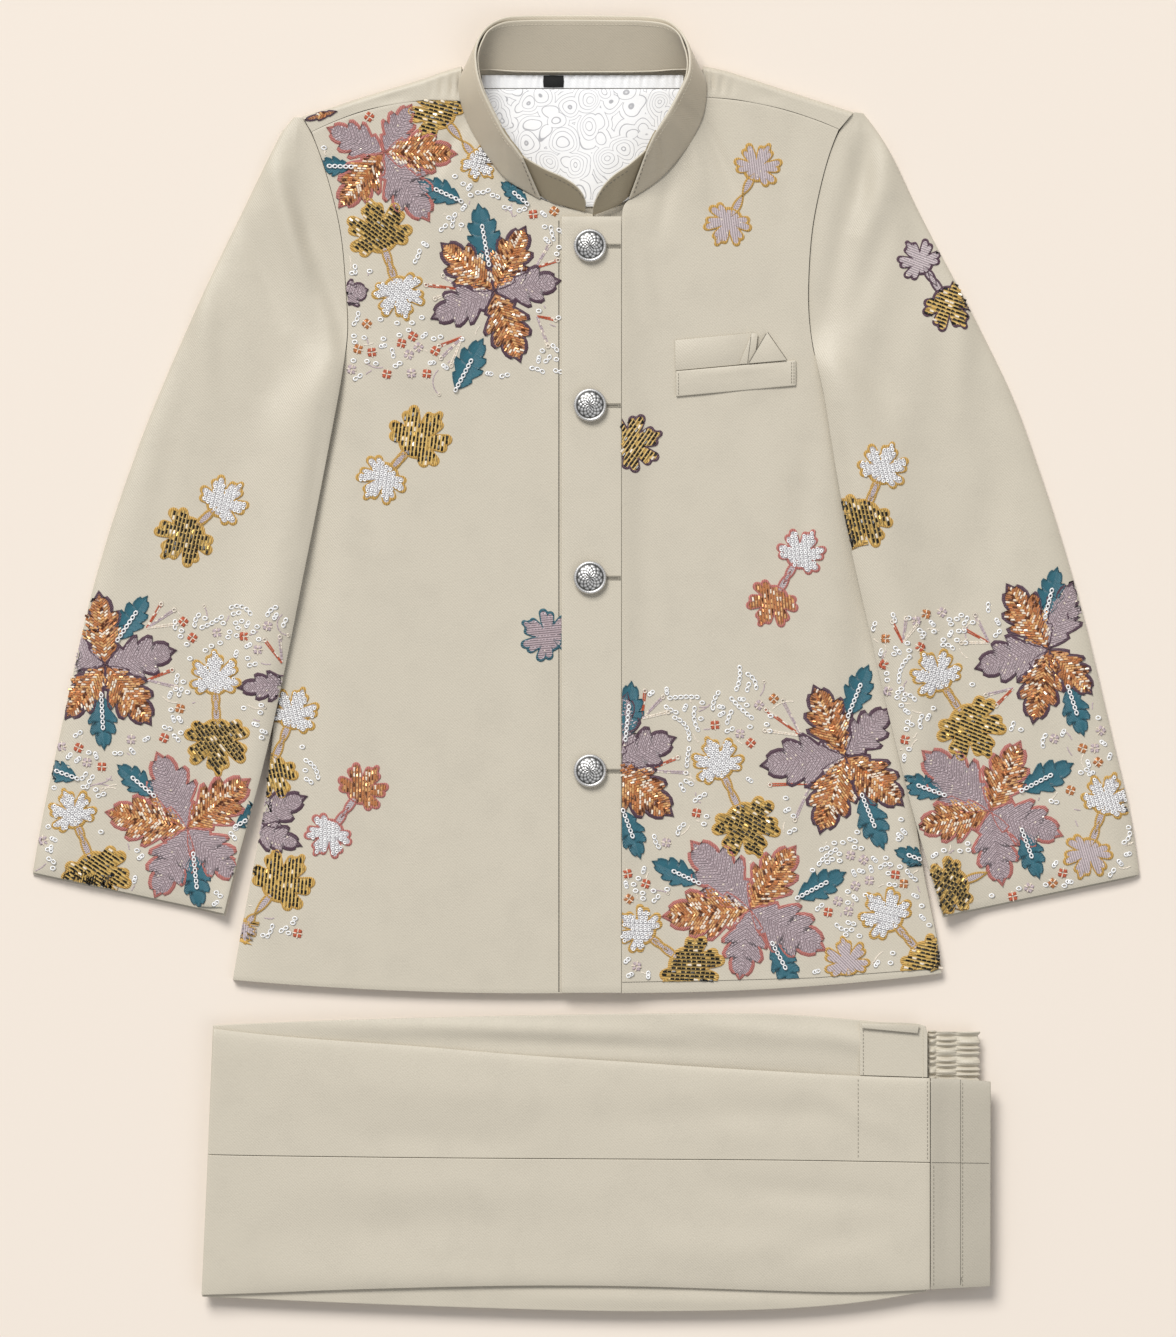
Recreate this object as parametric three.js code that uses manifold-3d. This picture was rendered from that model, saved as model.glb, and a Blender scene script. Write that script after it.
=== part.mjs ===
// A child's sherwani set laid flat: a buttoned jacket with a stand collar, above its folded trousers.
// Millimetres, +Z up, +Y from the hems towards the collar, origin on the floor under the set's middle.
// Right and left are the wearer's own, so the right front lies on the side of -X.
import * as THREE from "three";
import Module from "manifold-3d";

const wasm = await Module();
wasm.setup();

// Cloth walls and gaps
const COAT_WALL = 2.4;
const SLEEVE_WALL = 2.0;
const PLACKET_WALL = 2.2;
const LINING_WALL = 0.9;
const TROUSER_WALL = 1.5;
const SEAM = 0.3;

// Jacket heights: the fronts swell a little off the back and roll down to the side seams
const COAT_PUFF = 1.3;
const SIDE_ROLL = 14;
const UNDERARM_Y = 184;
const BACK_TOP = COAT_WALL;
const FRONT_UNDER = BACK_TOP + SEAM + COAT_PUFF;
const FRONT_TOP = FRONT_UNDER + COAT_WALL;
const CENTRE_FRONT_X = 2.3;
const PLACKET_LEFT_X = -14.1;
const PLACKET_RIGHT_X = 20.4;
const PLACKET_TOP_Y = 257;
const HEM_Y = -189.6;
const PLACKET_RISE = 16;
const PLACKET_TOP_FADE = 12;
const THIN_EDGE = 0.7;
const THIN_EDGE_REACH = 5;

// Sleeves: flat tubes that climb over the sides of the body
const SLEEVE_PUFF = 1.9;
const SLEEVE_ROLL = 9;
const SLEEVE_RAMP = 16;
const SLEEVE_RAMP_LEAD = 9;
const UNDER_CUFF_REACH = 1.2;
const ARMHOLE_GAP = 0.4;
const ARMHOLE_FADE = 20;
const ARMHOLE_FADE_LEAD = 8;
const DEEPEST_CREASE = 0.9;

// Shoulders: the back folds over them and ends at a seam on the chest
const SHOULDER_FOLD_RADIUS = 2.0;
const SHOULDER_FOLD_STEPS = 5;
const SHOULDER_SEAM_GAP = 0.4;
const SHOULDER_OVERLAP = 2;

// Collar
const OUTER_COLLAR_WALL = 1.5;
const INNER_COLLAR_WALL = 1.2;
const COLLAR_LAYER_GAP = 0.9;
const COLLAR_LAYER_STEP = (OUTER_COLLAR_WALL + INNER_COLLAR_WALL) / 2 + COLLAR_LAYER_GAP;
const NECK_MIDDLE = new THREE.Vector3(0, 310, 8);

// Buttons
const BUTTON_RADIUS = 9.5;
const BUTTON_EDGE = 2.2;
const BUTTON_DOME = 2.4;
const SHANK_RADIUS = 2.2;
const SHANK_HEIGHT = 1.6;
const BUTTON_YS = [240.2, 148.5, 49.3, -61.7];

// Trousers: hidden layers, then the under leg, then the upper leg
const CORE_TOP = 8.0;
const CORE_TOP_AT_WAIST = 5.6;
const CORE_STEP_X = 172;
const CORE_STEP_LENGTH = 22;
const CORE_LAYERS = 3;
const CORE_POINTS_PER_LAYER = 3;
const CORE_GROOVE = 1.6;
const CORE_INSET = 0.4;
const GROOVE_SHARPNESS = 0.6;
const LEG_UNDER = CORE_TOP + SEAM;
const UPPER_UNDER = LEG_UNDER + TROUSER_WALL + SEAM;
const UPPER_PUFF = 1.4;
const KNEE_X = -221;
const KNEE_ROLL = 10;
const FOLD_ROLL = 12;
const WAISTBAND_EXTRA = 0.3;
const ELASTIC_WALL = 2.6;
const GATHER_PITCH = 3.4;
const GATHER_RISE = 0.9;

// Finishes
const cloth = { color: 0xc6c1ac, roughness: 0.75, metalness: 0 };
const tabCloth = { color: 0xb1aa93, roughness: 0.75, metalness: 0 };
const lining = { color: 0xf0f0ee, roughness: 0.6, metalness: 0 };
const labelCloth = { color: 0x161616, roughness: 0.7, metalness: 0 };
const pewter = { color: 0x8a8a8a, roughness: 0.35, metalness: 1 };

// Right front, from the shoulder seam to the hem: side or armhole edge, then neck or centre edge
const RIGHT_FRONT = [
  { lx: -157.8, ly: 305.7, rx: -72.5, ry: 323.2, bow: 6.5 },
  { lx: -152.4, ly: 291.9, rx: -68.5, ry: 313.5, bow: 3 },
  { lx: -147.8, ly: 277.0, rx: -63.0, ry: 301.0, bow: 0 },
  { lx: -143.8, ly: 262.0, rx: -54.8, ry: 288.5, bow: 0 },
  { lx: -140.7, ly: 247.0, rx: -46.0, ry: 278.2, bow: 0 },
  { lx: -139.0, ly: 231.0, rx: -37.0, ry: 272.3, bow: 0 },
  { lx: -138.0, ly: 214.0, rx: -26.4, ry: 266.8, bow: 0 },
  { lx: -136.6, ly: 197.0, rx: -11.0, ry: 261.8, bow: 0 },
  { lx: -137.3, ly: 184.0, rx: 13.7, ry: 257.0, bow: 0 },
  { lx: -139.0, ly: 172.0, rx: 13.7, ry: 240.0, bow: 0 },
  { lx: -152.0, ly: 158.0, rx: 13.7, ry: 220.0, bow: 0 },
  { lx: -163.0, ly: 138.0, rx: 13.7, ry: 190.0, bow: 0 },
  { lx: -168.0, ly: 110.0, rx: 13.7, ry: 155.0, bow: 0 },
  { lx: -172.0, ly: 75.0, rx: 13.7, ry: 110.0, bow: 0 },
  { lx: -174.8, ly: 35.0, rx: 13.7, ry: 60.0, bow: 0 },
  { lx: -177.5, ly: -5.0, rx: 13.7, ry: 10.0, bow: 0 },
  { lx: -180.5, ly: -45.0, rx: 13.7, ry: -40.0, bow: 0 },
  { lx: -185.0, ly: -85.0, rx: 13.7, ry: -85.0, bow: 0 },
  { lx: -192.5, ly: -122.0, rx: 13.7, ry: -124.0, bow: -1 },
  { lx: -199.5, ly: -160.0, rx: 13.7, ry: -165.0, bow: -2 },
  { lx: -203.3, ly: -182.2, rx: 13.7, ry: -189.4, bow: -3.2 },
];

// Left front, the same way: placket or neck edge, then armhole or side edge
const LEFT_FRONT = [
  { lx: 68.5, ly: 325.5, rx: 145.5, ry: 307.2, bow: 4 },
  { lx: 66.7, ly: 315.0, rx: 141.4, ry: 297.7, bow: 2 },
  { lx: 60.4, ly: 300.0, rx: 137.5, ry: 285.0, bow: 0 },
  { lx: 51.5, ly: 288.0, rx: 134.5, ry: 273.0, bow: 0 },
  { lx: 40.5, ly: 277.2, rx: 131.5, ry: 259.0, bow: 0 },
  { lx: 31.6, ly: 270.7, rx: 129.4, ry: 245.0, bow: 0 },
  { lx: 25.0, ly: 266.8, rx: 128.2, ry: 228.0, bow: 0 },
  { lx: 20.7, ly: 263.5, rx: 127.6, ry: 209.0, bow: 0 },
  { lx: 20.7, ly: 252.0, rx: 128.4, ry: 196.0, bow: 0 },
  { lx: 20.7, ly: 237.0, rx: 130.1, ry: 183.0, bow: 0 },
  { lx: 20.7, ly: 220.0, rx: 132.5, ry: 172.0, bow: 0 },
  { lx: 20.7, ly: 200.0, rx: 146.0, ry: 158.0, bow: 0 },
  { lx: 20.7, ly: 175.0, rx: 157.0, ry: 138.0, bow: 0 },
  { lx: 20.7, ly: 145.0, rx: 163.5, ry: 110.0, bow: 0 },
  { lx: 20.7, ly: 105.0, rx: 169.5, ry: 75.0, bow: 0 },
  { lx: 20.7, ly: 57.0, rx: 174.5, ry: 35.0, bow: 0 },
  { lx: 20.7, ly: 8.0, rx: 180.5, ry: -5.0, bow: 0 },
  { lx: 20.7, ly: -40.0, rx: 185.0, ry: -45.0, bow: 0 },
  { lx: 20.7, ly: -85.0, rx: 189.0, ry: -85.0, bow: 0 },
  { lx: 20.7, ly: -124.0, rx: 194.3, ry: -122.0, bow: 0 },
  { lx: 20.7, ly: -165.0, rx: 202.0, ry: -157.0, bow: -2 },
  { lx: 20.7, ly: -189.7, rx: 204.7, ry: -178.4, bow: -3 },
];

// Back above the armholes, from the neck seam down: wearer's right edge, then left edge
const BACK_YOKE = [
  { lx: -71.5, ly: 342.0, rx: 67.0, ry: 341.8, bow: 0 },
  { lx: -97.2, ly: 332.2, rx: 92.0, ry: 333.4, bow: 0 },
  { lx: -127.6, ly: 322.8, rx: 118.0, ry: 325.2, bow: 0 },
  { lx: -156.5, ly: 312.2, rx: 148.0, ry: 313.4, bow: 0 },
];
const BACK_HEM_BOW = -8.5;

// Shoulder folds from the armhole to the neck: the outline, and where that meets the front's top edge,
// from 0 at the edge's wearer's-right end to 1 at its left end
const RIGHT_SHOULDER = [
  { ox: -163.2, oy: 314.9, seam: 0.0 },
  { ox: -148.3, oy: 319.5, seam: 0.18 },
  { ox: -127.6, oy: 326.4, seam: 0.41 },
  { ox: -97.2, oy: 335.6, seam: 0.73 },
  { ox: -84.0, oy: 340.2, seam: 0.87 },
  { ox: -71.6, oy: 344.0, seam: 1.0 },
];
const LEFT_SHOULDER = [
  { ox: 154.0, oy: 317.3, seam: 1.0 },
  { ox: 139.0, oy: 322.2, seam: 0.84 },
  { ox: 118.0, oy: 329.0, seam: 0.59 },
  { ox: 92.0, oy: 337.6, seam: 0.29 },
  { ox: 79.0, oy: 341.6, seam: 0.13 },
  { ox: 67.4, oy: 344.0, seam: 0.0 },
];

// Sleeves from the cap to the cuff: the edge towards the body, then the outer edge.
// The rows beside an armhole take their inner edge from the front that they are sewn to.
const RIGHT_CAP = { ix: -163.6, iy: 314.2, ox: -168.2, oy: 314.4 };
const RIGHT_ARMHOLE_OUTER = [
  { ox: -174.5, oy: 307.0 },
  { ox: -183.0, oy: 290.5 },
  { ox: -191.3, oy: 273.5 },
  { ox: -199.6, oy: 256.0 },
  { ox: -208.0, oy: 239.2 },
  { ox: -216.4, oy: 221.5 },
  { ox: -224.4, oy: 204.2 },
  { ox: -232.0, oy: 187.0 },
  { ox: -238.0, oy: 173.5 },
  { ox: -243.0, oy: 161.5 },
];
const RIGHT_SLEEVE = [
  { ix: -141.5, iy: 158.0, ox: -248.0, oy: 149.6 },
  { ix: -144.6, iy: 142.0, ox: -253.0, oy: 137.4 },
  { ix: -149.0, iy: 119.0, ox: -260.5, oy: 117.1 },
  { ix: -155.5, iy: 85.0, ox: -270.5, oy: 88.5 },
  { ix: -162.5, iy: 51.0, ox: -280.0, oy: 58.0 },
  { ix: -169.0, iy: 17.0, ox: -287.0, oy: 31.0 },
  { ix: -176.0, iy: -17.0, ox: -294.0, oy: 1.0 },
  { ix: -183.5, iy: -51.0, ox: -300.5, oy: -30.5 },
  { ix: -191.5, iy: -82.0, ox: -307.0, oy: -60.0 },
  { ix: -200.5, iy: -113.0, ox: -313.0, oy: -88.0 },
  { ix: -208.1, iy: -143.9, ox: -318.5, oy: -120.3 },
];
const LEFT_CAP = { ix: 154.5, iy: 317.2, ox: 159.8, oy: 316.6 };
const LEFT_ARMHOLE_OUTER = [
  { ox: 168.5, oy: 305.5 },
  { ox: 176.8, oy: 291.2 },
  { ox: 184.0, oy: 276.0 },
  { ox: 190.5, oy: 262.0 },
  { ox: 198.5, oy: 246.5 },
  { ox: 206.0, oy: 232.0 },
  { ox: 214.8, oy: 215.5 },
  { ox: 222.5, oy: 200.8 },
  { ox: 229.5, oy: 187.0 },
  { ox: 236.0, oy: 174.0 },
  { ox: 241.5, oy: 162.5 },
];
const LEFT_SLEEVE = [
  { ix: 136.5, iy: 157.0, ox: 247.5, oy: 148.8 },
  { ix: 139.2, iy: 140.0, ox: 252.5, oy: 135.6 },
  { ix: 142.5, iy: 119.0, ox: 258.8, oy: 117.1 },
  { ix: 148.3, iy: 85.0, ox: 268.5, oy: 88.5 },
  { ix: 155.5, iy: 51.0, ox: 277.8, oy: 58.0 },
  { ix: 163.5, iy: 17.0, ox: 285.5, oy: 31.0 },
  { ix: 171.0, iy: -17.0, ox: 292.8, oy: 1.0 },
  { ix: 179.2, iy: -51.0, ox: 300.0, oy: -30.5 },
  { ix: 186.8, iy: -82.0, ox: 307.0, oy: -60.0 },
  { ix: 195.8, iy: -113.0, ox: 314.0, oy: -88.0 },
  { ix: 205.3, iy: -145.1, ox: 318.5, oy: -121.5 },
];

// Soft creases in the sleeves, deepest in their middle
const SLEEVE_CREASES = [
  { x0: -169, y0: 276, x1: -144, y1: 198, depth: 1.0, width: 5 },
  { x0: -180, y0: 262, x1: -158, y1: 190, depth: 0.6, width: 7 },
  { x0: -230, y0: 120, x1: -205, y1: 40, depth: 0.5, width: 9 },
  { x0: 163, y0: 302, x1: 156, y1: 246, depth: 1.0, width: 5 },
  { x0: 175, y0: 268, x1: 150, y1: 196, depth: 0.7, width: 6 },
  { x0: 236, y0: 110, x1: 215, y1: 30, depth: 0.5, width: 9 },
];

// Collar band round the neck, from the right front end to the left: its foot, then its top edge
const COLLAR = [
  { bx: -26.6, by: 267.8, bz: 7.0, tx: -36.6, ty: 289.8, tz: 24 },
  { bx: -36.8, by: 273.5, bz: 7.0, tx: -41.5, ty: 296.5, tz: 26 },
  { bx: -45.4, by: 279.0, bz: 7.0, tx: -46.5, ty: 303.0, tz: 27 },
  { bx: -54.0, by: 289.0, bz: 7.0, tx: -51.0, ty: 311.0, tz: 28 },
  { bx: -62.1, by: 301.0, bz: 7.0, tx: -55.8, ty: 320.5, tz: 29 },
  { bx: -68.2, by: 313.0, bz: 7.0, tx: -60.0, ty: 330.0, tz: 29 },
  { bx: -72.0, by: 325.0, bz: 7.0, tx: -62.8, ty: 341.0, tz: 28 },
  { bx: -72.5, by: 335.0, bz: 7.2, tx: -63.0, ty: 353.0, tz: 25 },
  { bx: -68.5, by: 341.8, bz: 5.6, tx: -57.8, ty: 364.0, tz: 20 },
  { bx: -58.0, by: 342.0, bz: 4.2, tx: -47.7, ty: 370.4, tz: 14 },
  { bx: -42.0, by: 340.5, bz: 3.6, tx: -34.5, ty: 372.0, tz: 10 },
  { bx: -20.0, by: 340.0, bz: 3.6, tx: -17.0, ty: 372.3, tz: 8.5 },
  { bx: -2.0, by: 340.0, bz: 3.6, tx: -1.0, ty: 372.3, tz: 8.5 },
  { bx: 17.0, by: 340.0, bz: 3.6, tx: 17.0, ty: 372.1, tz: 8.5 },
  { bx: 38.0, by: 340.5, bz: 3.6, tx: 34.5, ty: 371.6, tz: 10 },
  { bx: 53.5, by: 342.0, bz: 4.2, tx: 46.8, ty: 369.0, tz: 14 },
  { bx: 64.0, by: 341.8, bz: 5.6, tx: 55.0, ty: 361.5, tz: 20 },
  { bx: 68.2, by: 335.0, bz: 7.2, tx: 59.2, ty: 350.5, tz: 25 },
  { bx: 68.6, by: 325.0, bz: 7.0, tx: 58.9, ty: 338.5, tz: 28 },
  { bx: 66.2, by: 314.0, bz: 7.0, tx: 54.0, ty: 327.6, tz: 29 },
  { bx: 60.1, by: 301.0, bz: 7.0, tx: 48.0, ty: 316.5, tz: 29 },
  { bx: 51.2, by: 289.0, bz: 7.0, tx: 43.0, ty: 308.5, tz: 28 },
  { bx: 43.0, by: 280.2, bz: 7.0, tx: 39.5, ty: 303.0, tz: 27 },
  { bx: 34.5, by: 273.6, bz: 7.0, tx: 37.5, ty: 298.8, tz: 26 },
  { bx: 25.2, by: 267.8, bz: 7.0, tx: 35.3, ty: 294.0, tz: 24 },
];

// Where the inner collar and the tabs meet, counted in rows of the collar table
const TAB_START = 2.5;
const TAB_GAP = 0.1;
const TAB_TOP = 0.96;
const TAB_STEPS = 5;

// Collar tabs towards the centre front: foot, then top edge
const RIGHT_TAB = [
  { bx: -19.0, by: 265.4, bz: 7.0, tx: -24.0, ty: 283.8, tz: 21 },
  { bx: -12.0, by: 263.4, bz: 7.0, tx: -14.0, ty: 279.4, tz: 19 },
  { bx: -6.0, by: 261.8, bz: 7.0, tx: -6.5, ty: 274.8, tz: 17 },
  { bx: -2.2, by: 260.8, bz: 7.0, tx: -2.0, ty: 269.6, tz: 14 },
  { bx: -0.4, by: 260.2, bz: 7.0, tx: -0.2, ty: 264.6, tz: 10.5 },
];
const LEFT_TAB = [
  { bx: 19.6, by: 265.0, bz: 7.0, tx: 24.5, ty: 286.0, tz: 21 },
  { bx: 14.5, by: 262.2, bz: 7.0, tx: 16.5, ty: 280.6, tz: 19 },
  { bx: 9.5, by: 260.2, bz: 7.0, tx: 10.4, ty: 274.6, tz: 17 },
  { bx: 6.0, by: 259.0, bz: 7.0, tx: 6.3, ty: 268.0, tz: 14 },
  { bx: 3.8, by: 258.2, bz: 7.0, tx: 4.2, ty: 262.6, tz: 10.5 },
];

// Printed lining inside the back, as far as it shows in the neck, and its gathered strip
const BACK_LINING = [
  { lx: -64.0, ly: 330.6, rx: 60.0, ry: 330.6, bow: 0 },
  { lx: -69.0, ly: 318.0, rx: 67.0, ry: 318.0, bow: 0 },
  { lx: -66.0, ly: 305.0, rx: 64.0, ry: 305.0, bow: 0 },
  { lx: -58.0, ly: 292.0, rx: 56.0, ry: 292.0, bow: 0 },
  { lx: -48.0, ly: 280.0, rx: 45.0, ry: 280.0, bow: 0 },
  { lx: -34.0, ly: 270.0, rx: 32.0, ry: 270.0, bow: 0 },
  { lx: -14.0, ly: 262.8, rx: 16.0, ry: 262.8, bow: 0 },
];
const STRIP = { left: -60, right: 56, low: 331, high: 338.6, gathers: 12, rise: 0.5, margin: 1 };
const LABEL = { left: -24.7, right: -12.7, low: 331.4, high: 338.4, wall: 0.4 };

// Breast pocket: a welt that climbs to the wearer's left, and a folded square above it
const WELT = { left: 51.8, right: 120.7, leftLow: 153.4, rightLow: 159.7, high: 14.7, wall: 1.6 };
const SQUARE_WALL = 1.0;
const SQUARE_FLAT = [[52.0, 168.6], [94.0, 172.5], [98.5, 181.0], [95.4, 190.2], [51.2, 186.1]];
const SQUARE_PEAK = [[92.5, 172.4], [115.6, 174.5], [104.1, 190.7]];

// Trouser stations from the knee fold to the waist: upper edge, then lower edge
const CORE = [
  { lx: -213.0, ly: -209.0, rx: -219.6, ry: -363.0, bow: 0 },
  { lx: -160.0, ly: -206.6, rx: -160.0, ry: -366.2, bow: 0 },
  { lx: -100.0, ly: -204.8, rx: -100.0, ry: -368.6, bow: 0 },
  { lx: -38.0, ly: -203.6, rx: -38.0, ry: -370.8, bow: 0 },
  { lx: 19.5, ly: -202.6, rx: 19.5, ry: -372.0, bow: 0 },
  { lx: 70.0, ly: -202.4, rx: 70.0, ry: -371.8, bow: 0 },
  { lx: 111.5, ly: -202.6, rx: 111.5, ry: -370.8, bow: 0 },
  { lx: 145.0, ly: -205.2, rx: 145.0, ry: -368.2, bow: 0 },
  { lx: 172.0, ly: -208.4, rx: 172.0, ry: -364.8, bow: 0 },
  { lx: 196.0, ly: -212.6, rx: 196.0, ry: -360.4, bow: 0 },
  { lx: 225.6, ly: -213.0, rx: 226.0, ry: -356.6, bow: 0 },
];
const UNDER_LEG = [
  { lx: -214.5, ly: -208.0, rx: -220.8, ry: -364.2, bow: 0 },
  { lx: -160.0, ly: -205.6, rx: -160.0, ry: -367.1, bow: 0 },
  { lx: -100.0, ly: -203.7, rx: -100.0, ry: -369.5, bow: 0 },
  { lx: -38.0, ly: -202.4, rx: -38.0, ry: -371.6, bow: 0 },
  { lx: 19.5, ly: -201.5, rx: 19.5, ry: -372.9, bow: 0 },
  { lx: 70.0, ly: -201.2, rx: 70.0, ry: -372.6, bow: 0 },
  { lx: 111.5, ly: -201.5, rx: 111.5, ry: -371.6, bow: 0 },
  { lx: 145.5, ly: -204.0, rx: 145.5, ry: -369.0, bow: 0 },
  { lx: 170.0, ly: -206.4, rx: 170.0, ry: -366.0, bow: 0 },
  { lx: 195.6, ly: -208.6, rx: 195.6, ry: -361.4, bow: 0 },
];
const UPPER_BACK = [
  { lx: -214.0, ly: -209.8, rx: -217.3, ry: -282.2, bow: 0 },
  { lx: -190.0, ly: -212.8, rx: -190.0, ry: -282.8, bow: 0 },
  { lx: -149.0, ly: -216.4, rx: -149.0, ry: -283.3, bow: 0 },
  { lx: -102.0, ly: -219.4, rx: -102.0, ry: -283.9, bow: 0 },
  { lx: -38.5, ly: -225.0, rx: -38.5, ry: -284.4, bow: 0 },
  { lx: 19.5, ly: -228.6, rx: 19.5, ry: -284.7, bow: 0 },
  { lx: 65.0, ly: -231.8, rx: 65.0, ry: -285.0, bow: 0 },
  { lx: 111.5, ly: -234.5, rx: 111.5, ry: -285.3, bow: 0 },
  { lx: 156.4, ly: -237.1, rx: 156.4, ry: -286.0, bow: 0 },
  { lx: 197.7, ly: -238.3, rx: 197.7, ry: -286.7, bow: 0 },
];
const UPPER_FRONT = [
  { lx: -217.3, ly: -282.5, rx: -221.0, ry: -363.2, bow: 0 },
  { lx: -190.0, ly: -283.1, rx: -190.0, ry: -362.3, bow: 0 },
  { lx: -149.0, ly: -283.6, rx: -149.0, ry: -360.6, bow: 0 },
  { lx: -102.0, ly: -284.2, rx: -102.0, ry: -359.2, bow: 0 },
  { lx: -38.5, ly: -284.7, rx: -38.5, ry: -357.8, bow: 0 },
  { lx: 19.5, ly: -285.0, rx: 19.5, ry: -358.1, bow: 0 },
  { lx: 65.0, ly: -285.3, rx: 65.0, ry: -359.4, bow: 0 },
  { lx: 111.5, ly: -285.6, rx: 111.5, ry: -361.0, bow: 0 },
  { lx: 156.4, ly: -286.3, rx: 156.4, ry: -361.9, bow: 0 },
  { lx: 197.7, ly: -287.0, rx: 197.7, ry: -360.2, bow: 0 },
];
const WAISTBAND = [
  { lx: 198.1, ly: -238.3, rx: 198.1, ry: -360.1, bow: 0 },
  { lx: 207.0, ly: -238.6, rx: 207.0, ry: -359.6, bow: 0 },
  { lx: 215.6, ly: -239.0, rx: 215.6, ry: -359.2, bow: 0 },
  { lx: 224.0, ly: -239.4, rx: 224.0, ry: -358.8, bow: 0 },
  { lx: 232.6, ly: -240.2, rx: 232.4, ry: -358.2, bow: 0 },
];
const HIP_PANEL = [
  { lx: 157.5, ly: -206.0, rx: 157.5, ry: -236.7, bow: 0 },
  { lx: 176.0, ly: -206.4, rx: 176.0, ry: -237.2, bow: 0 },
  { lx: 190.0, ly: -207.0, rx: 190.0, ry: -237.7, bow: 0 },
  { lx: 194.8, ly: -208.6, rx: 194.8, ry: -237.8, bow: 0 },
  { lx: 196.2, ly: -212.0, rx: 196.2, ry: -237.9, bow: 0 },
];
const ELASTIC = { start: 196.6, firstChannel: 200.7, secondChannel: 213.6, end: 226.8 };
const ELASTIC_SPAN = { high: -211.8, low: -249.2 };

// Small maths
const lerp = THREE.MathUtils.lerp;
const clamp = (value) => THREE.MathUtils.clamp(value, 0, 1);
const ease = (value) => THREE.MathUtils.smoothstep(value, 0, 1);
const roundOver = (value) => Math.sqrt(1 - (1 - clamp(value)) ** 2);
const steps = (count) => Array.from({ length: count + 1 }, (_, i) => i / count);
const thinned = (fromEdge) => lerp(THIN_EDGE, 1, roundOver(fromEdge / THIN_EDGE_REACH));
const crowdedAtEdges = (count) => steps(count).map((s) => (1 - Math.cos(Math.PI * s)) / 2);

// Straight-line value of a table at a height y, for tables whose y falls from row to row
function edgeAt(table, xKey, yKey, y) {
  const below = table.findIndex((row) => row[yKey] <= y);
  if (below === 0) return table[0][xKey];
  if (below === -1) return table[table.length - 1][xKey];
  const high = table[below - 1];
  const low = table[below];
  return lerp(low[xKey], high[xKey], (y - low[yKey]) / (high[yKey] - low[yKey]));
}

// How far a point lies inside the nearer side seam, with the armholes counted as far inside
function insideSide(x, y) {
  const right = x - edgeAt(RIGHT_FRONT, "lx", "ly", y);
  const left = edgeAt(LEFT_FRONT, "rx", "ry", y) - x;
  return Math.min(right, left) + Math.max(0, y - UNDERARM_Y + 2 * SIDE_ROLL);
}

function frontUnder(x, y) {
  const swell = COAT_PUFF * roundOver(insideSide(x, y) / SIDE_ROLL);
  return BACK_TOP + SEAM + swell;
}

// The left front climbs to lie flush with the placket that is sewn to it
function leftFrontUnder(x, y) {
  const climb = 1 - ease((x - PLACKET_RIGHT_X) / PLACKET_RISE);
  const belowNeck = ease((PLACKET_TOP_Y + PLACKET_TOP_FADE - y) / PLACKET_TOP_FADE);
  return frontUnder(x, y) + (COAT_WALL + SEAM) * climb * belowNeck;
}

const placketUnder = (x, y) => frontUnder(x, y) + COAT_WALL + SEAM;

function creaseDip(x, y) {
  let dip = 0;
  for (const crease of SLEEVE_CREASES) {
    const dx = crease.x1 - crease.x0;
    const dy = crease.y1 - crease.y0;
    const along = clamp(((x - crease.x0) * dx + (y - crease.y0) * dy) / (dx * dx + dy * dy));
    const away = Math.hypot(x - crease.x0 - along * dx, y - crease.y0 - along * dy);
    dip += crease.depth * Math.sin(Math.PI * along) * Math.exp(-((away / crease.width) ** 2));
  }
  return dip;
}

// The floor that a sleeve lies on: the ground, or the body's side where it laps over that
function sleeveFloor(x, y) {
  const right = x - edgeAt(RIGHT_FRONT, "lx", "ly", y);
  const left = edgeAt(LEFT_FRONT, "rx", "ry", y) - x;
  const over = ease((Math.min(right, left) + SLEEVE_RAMP + SLEEVE_RAMP_LEAD) / SLEEVE_RAMP);
  const below = ease((UNDERARM_Y + ARMHOLE_FADE_LEAD - y) / ARMHOLE_FADE);
  return (FRONT_TOP + SEAM) * over * below;
}

// A closed wall between two grids of points, with its faces turned outwards
function closedWall(lower, upper) {
  const rows = lower.length;
  const columns = lower[0].length;
  const points = [...lower.flat(), ...upper.flat()];
  const at = (layer, i, j) => (layer * rows + i) * columns + j;
  const index = [];
  const quad = (a, b, c, d) => index.push(a, b, c, a, c, d);
  for (let i = 0; i < rows - 1; i++) {
    for (let j = 0; j < columns - 1; j++) {
      quad(at(1, i, j), at(1, i, j + 1), at(1, i + 1, j + 1), at(1, i + 1, j));
      quad(at(0, i, j), at(0, i + 1, j), at(0, i + 1, j + 1), at(0, i, j + 1));
    }
  }
  const last = rows - 1;
  const end = columns - 1;
  for (let j = 0; j < end; j++) {
    quad(at(0, 0, j), at(0, 0, j + 1), at(1, 0, j + 1), at(1, 0, j));
    quad(at(0, last, j + 1), at(0, last, j), at(1, last, j), at(1, last, j + 1));
  }
  for (let i = 0; i < last; i++) {
    quad(at(0, i + 1, 0), at(0, i, 0), at(1, i, 0), at(1, i + 1, 0));
    quad(at(0, i, end), at(0, i + 1, end), at(1, i + 1, end), at(1, i, end));
  }
  const geometry = new THREE.BufferGeometry();
  geometry.setAttribute("position", new THREE.Float32BufferAttribute(points.flatMap((p) => p.toArray()), 3));
  geometry.setIndex(signedVolume(points, index) < 0 ? [...index].reverse() : index);
  return geometry;
}

function signedVolume(points, index) {
  let sum = 0;
  for (let k = 0; k < index.length; k += 3) {
    const [a, b, c] = [points[index[k]], points[index[k + 1]], points[index[k + 2]]];
    sum += a.dot(b.clone().cross(c)) / 6;
  }
  return sum;
}

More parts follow.
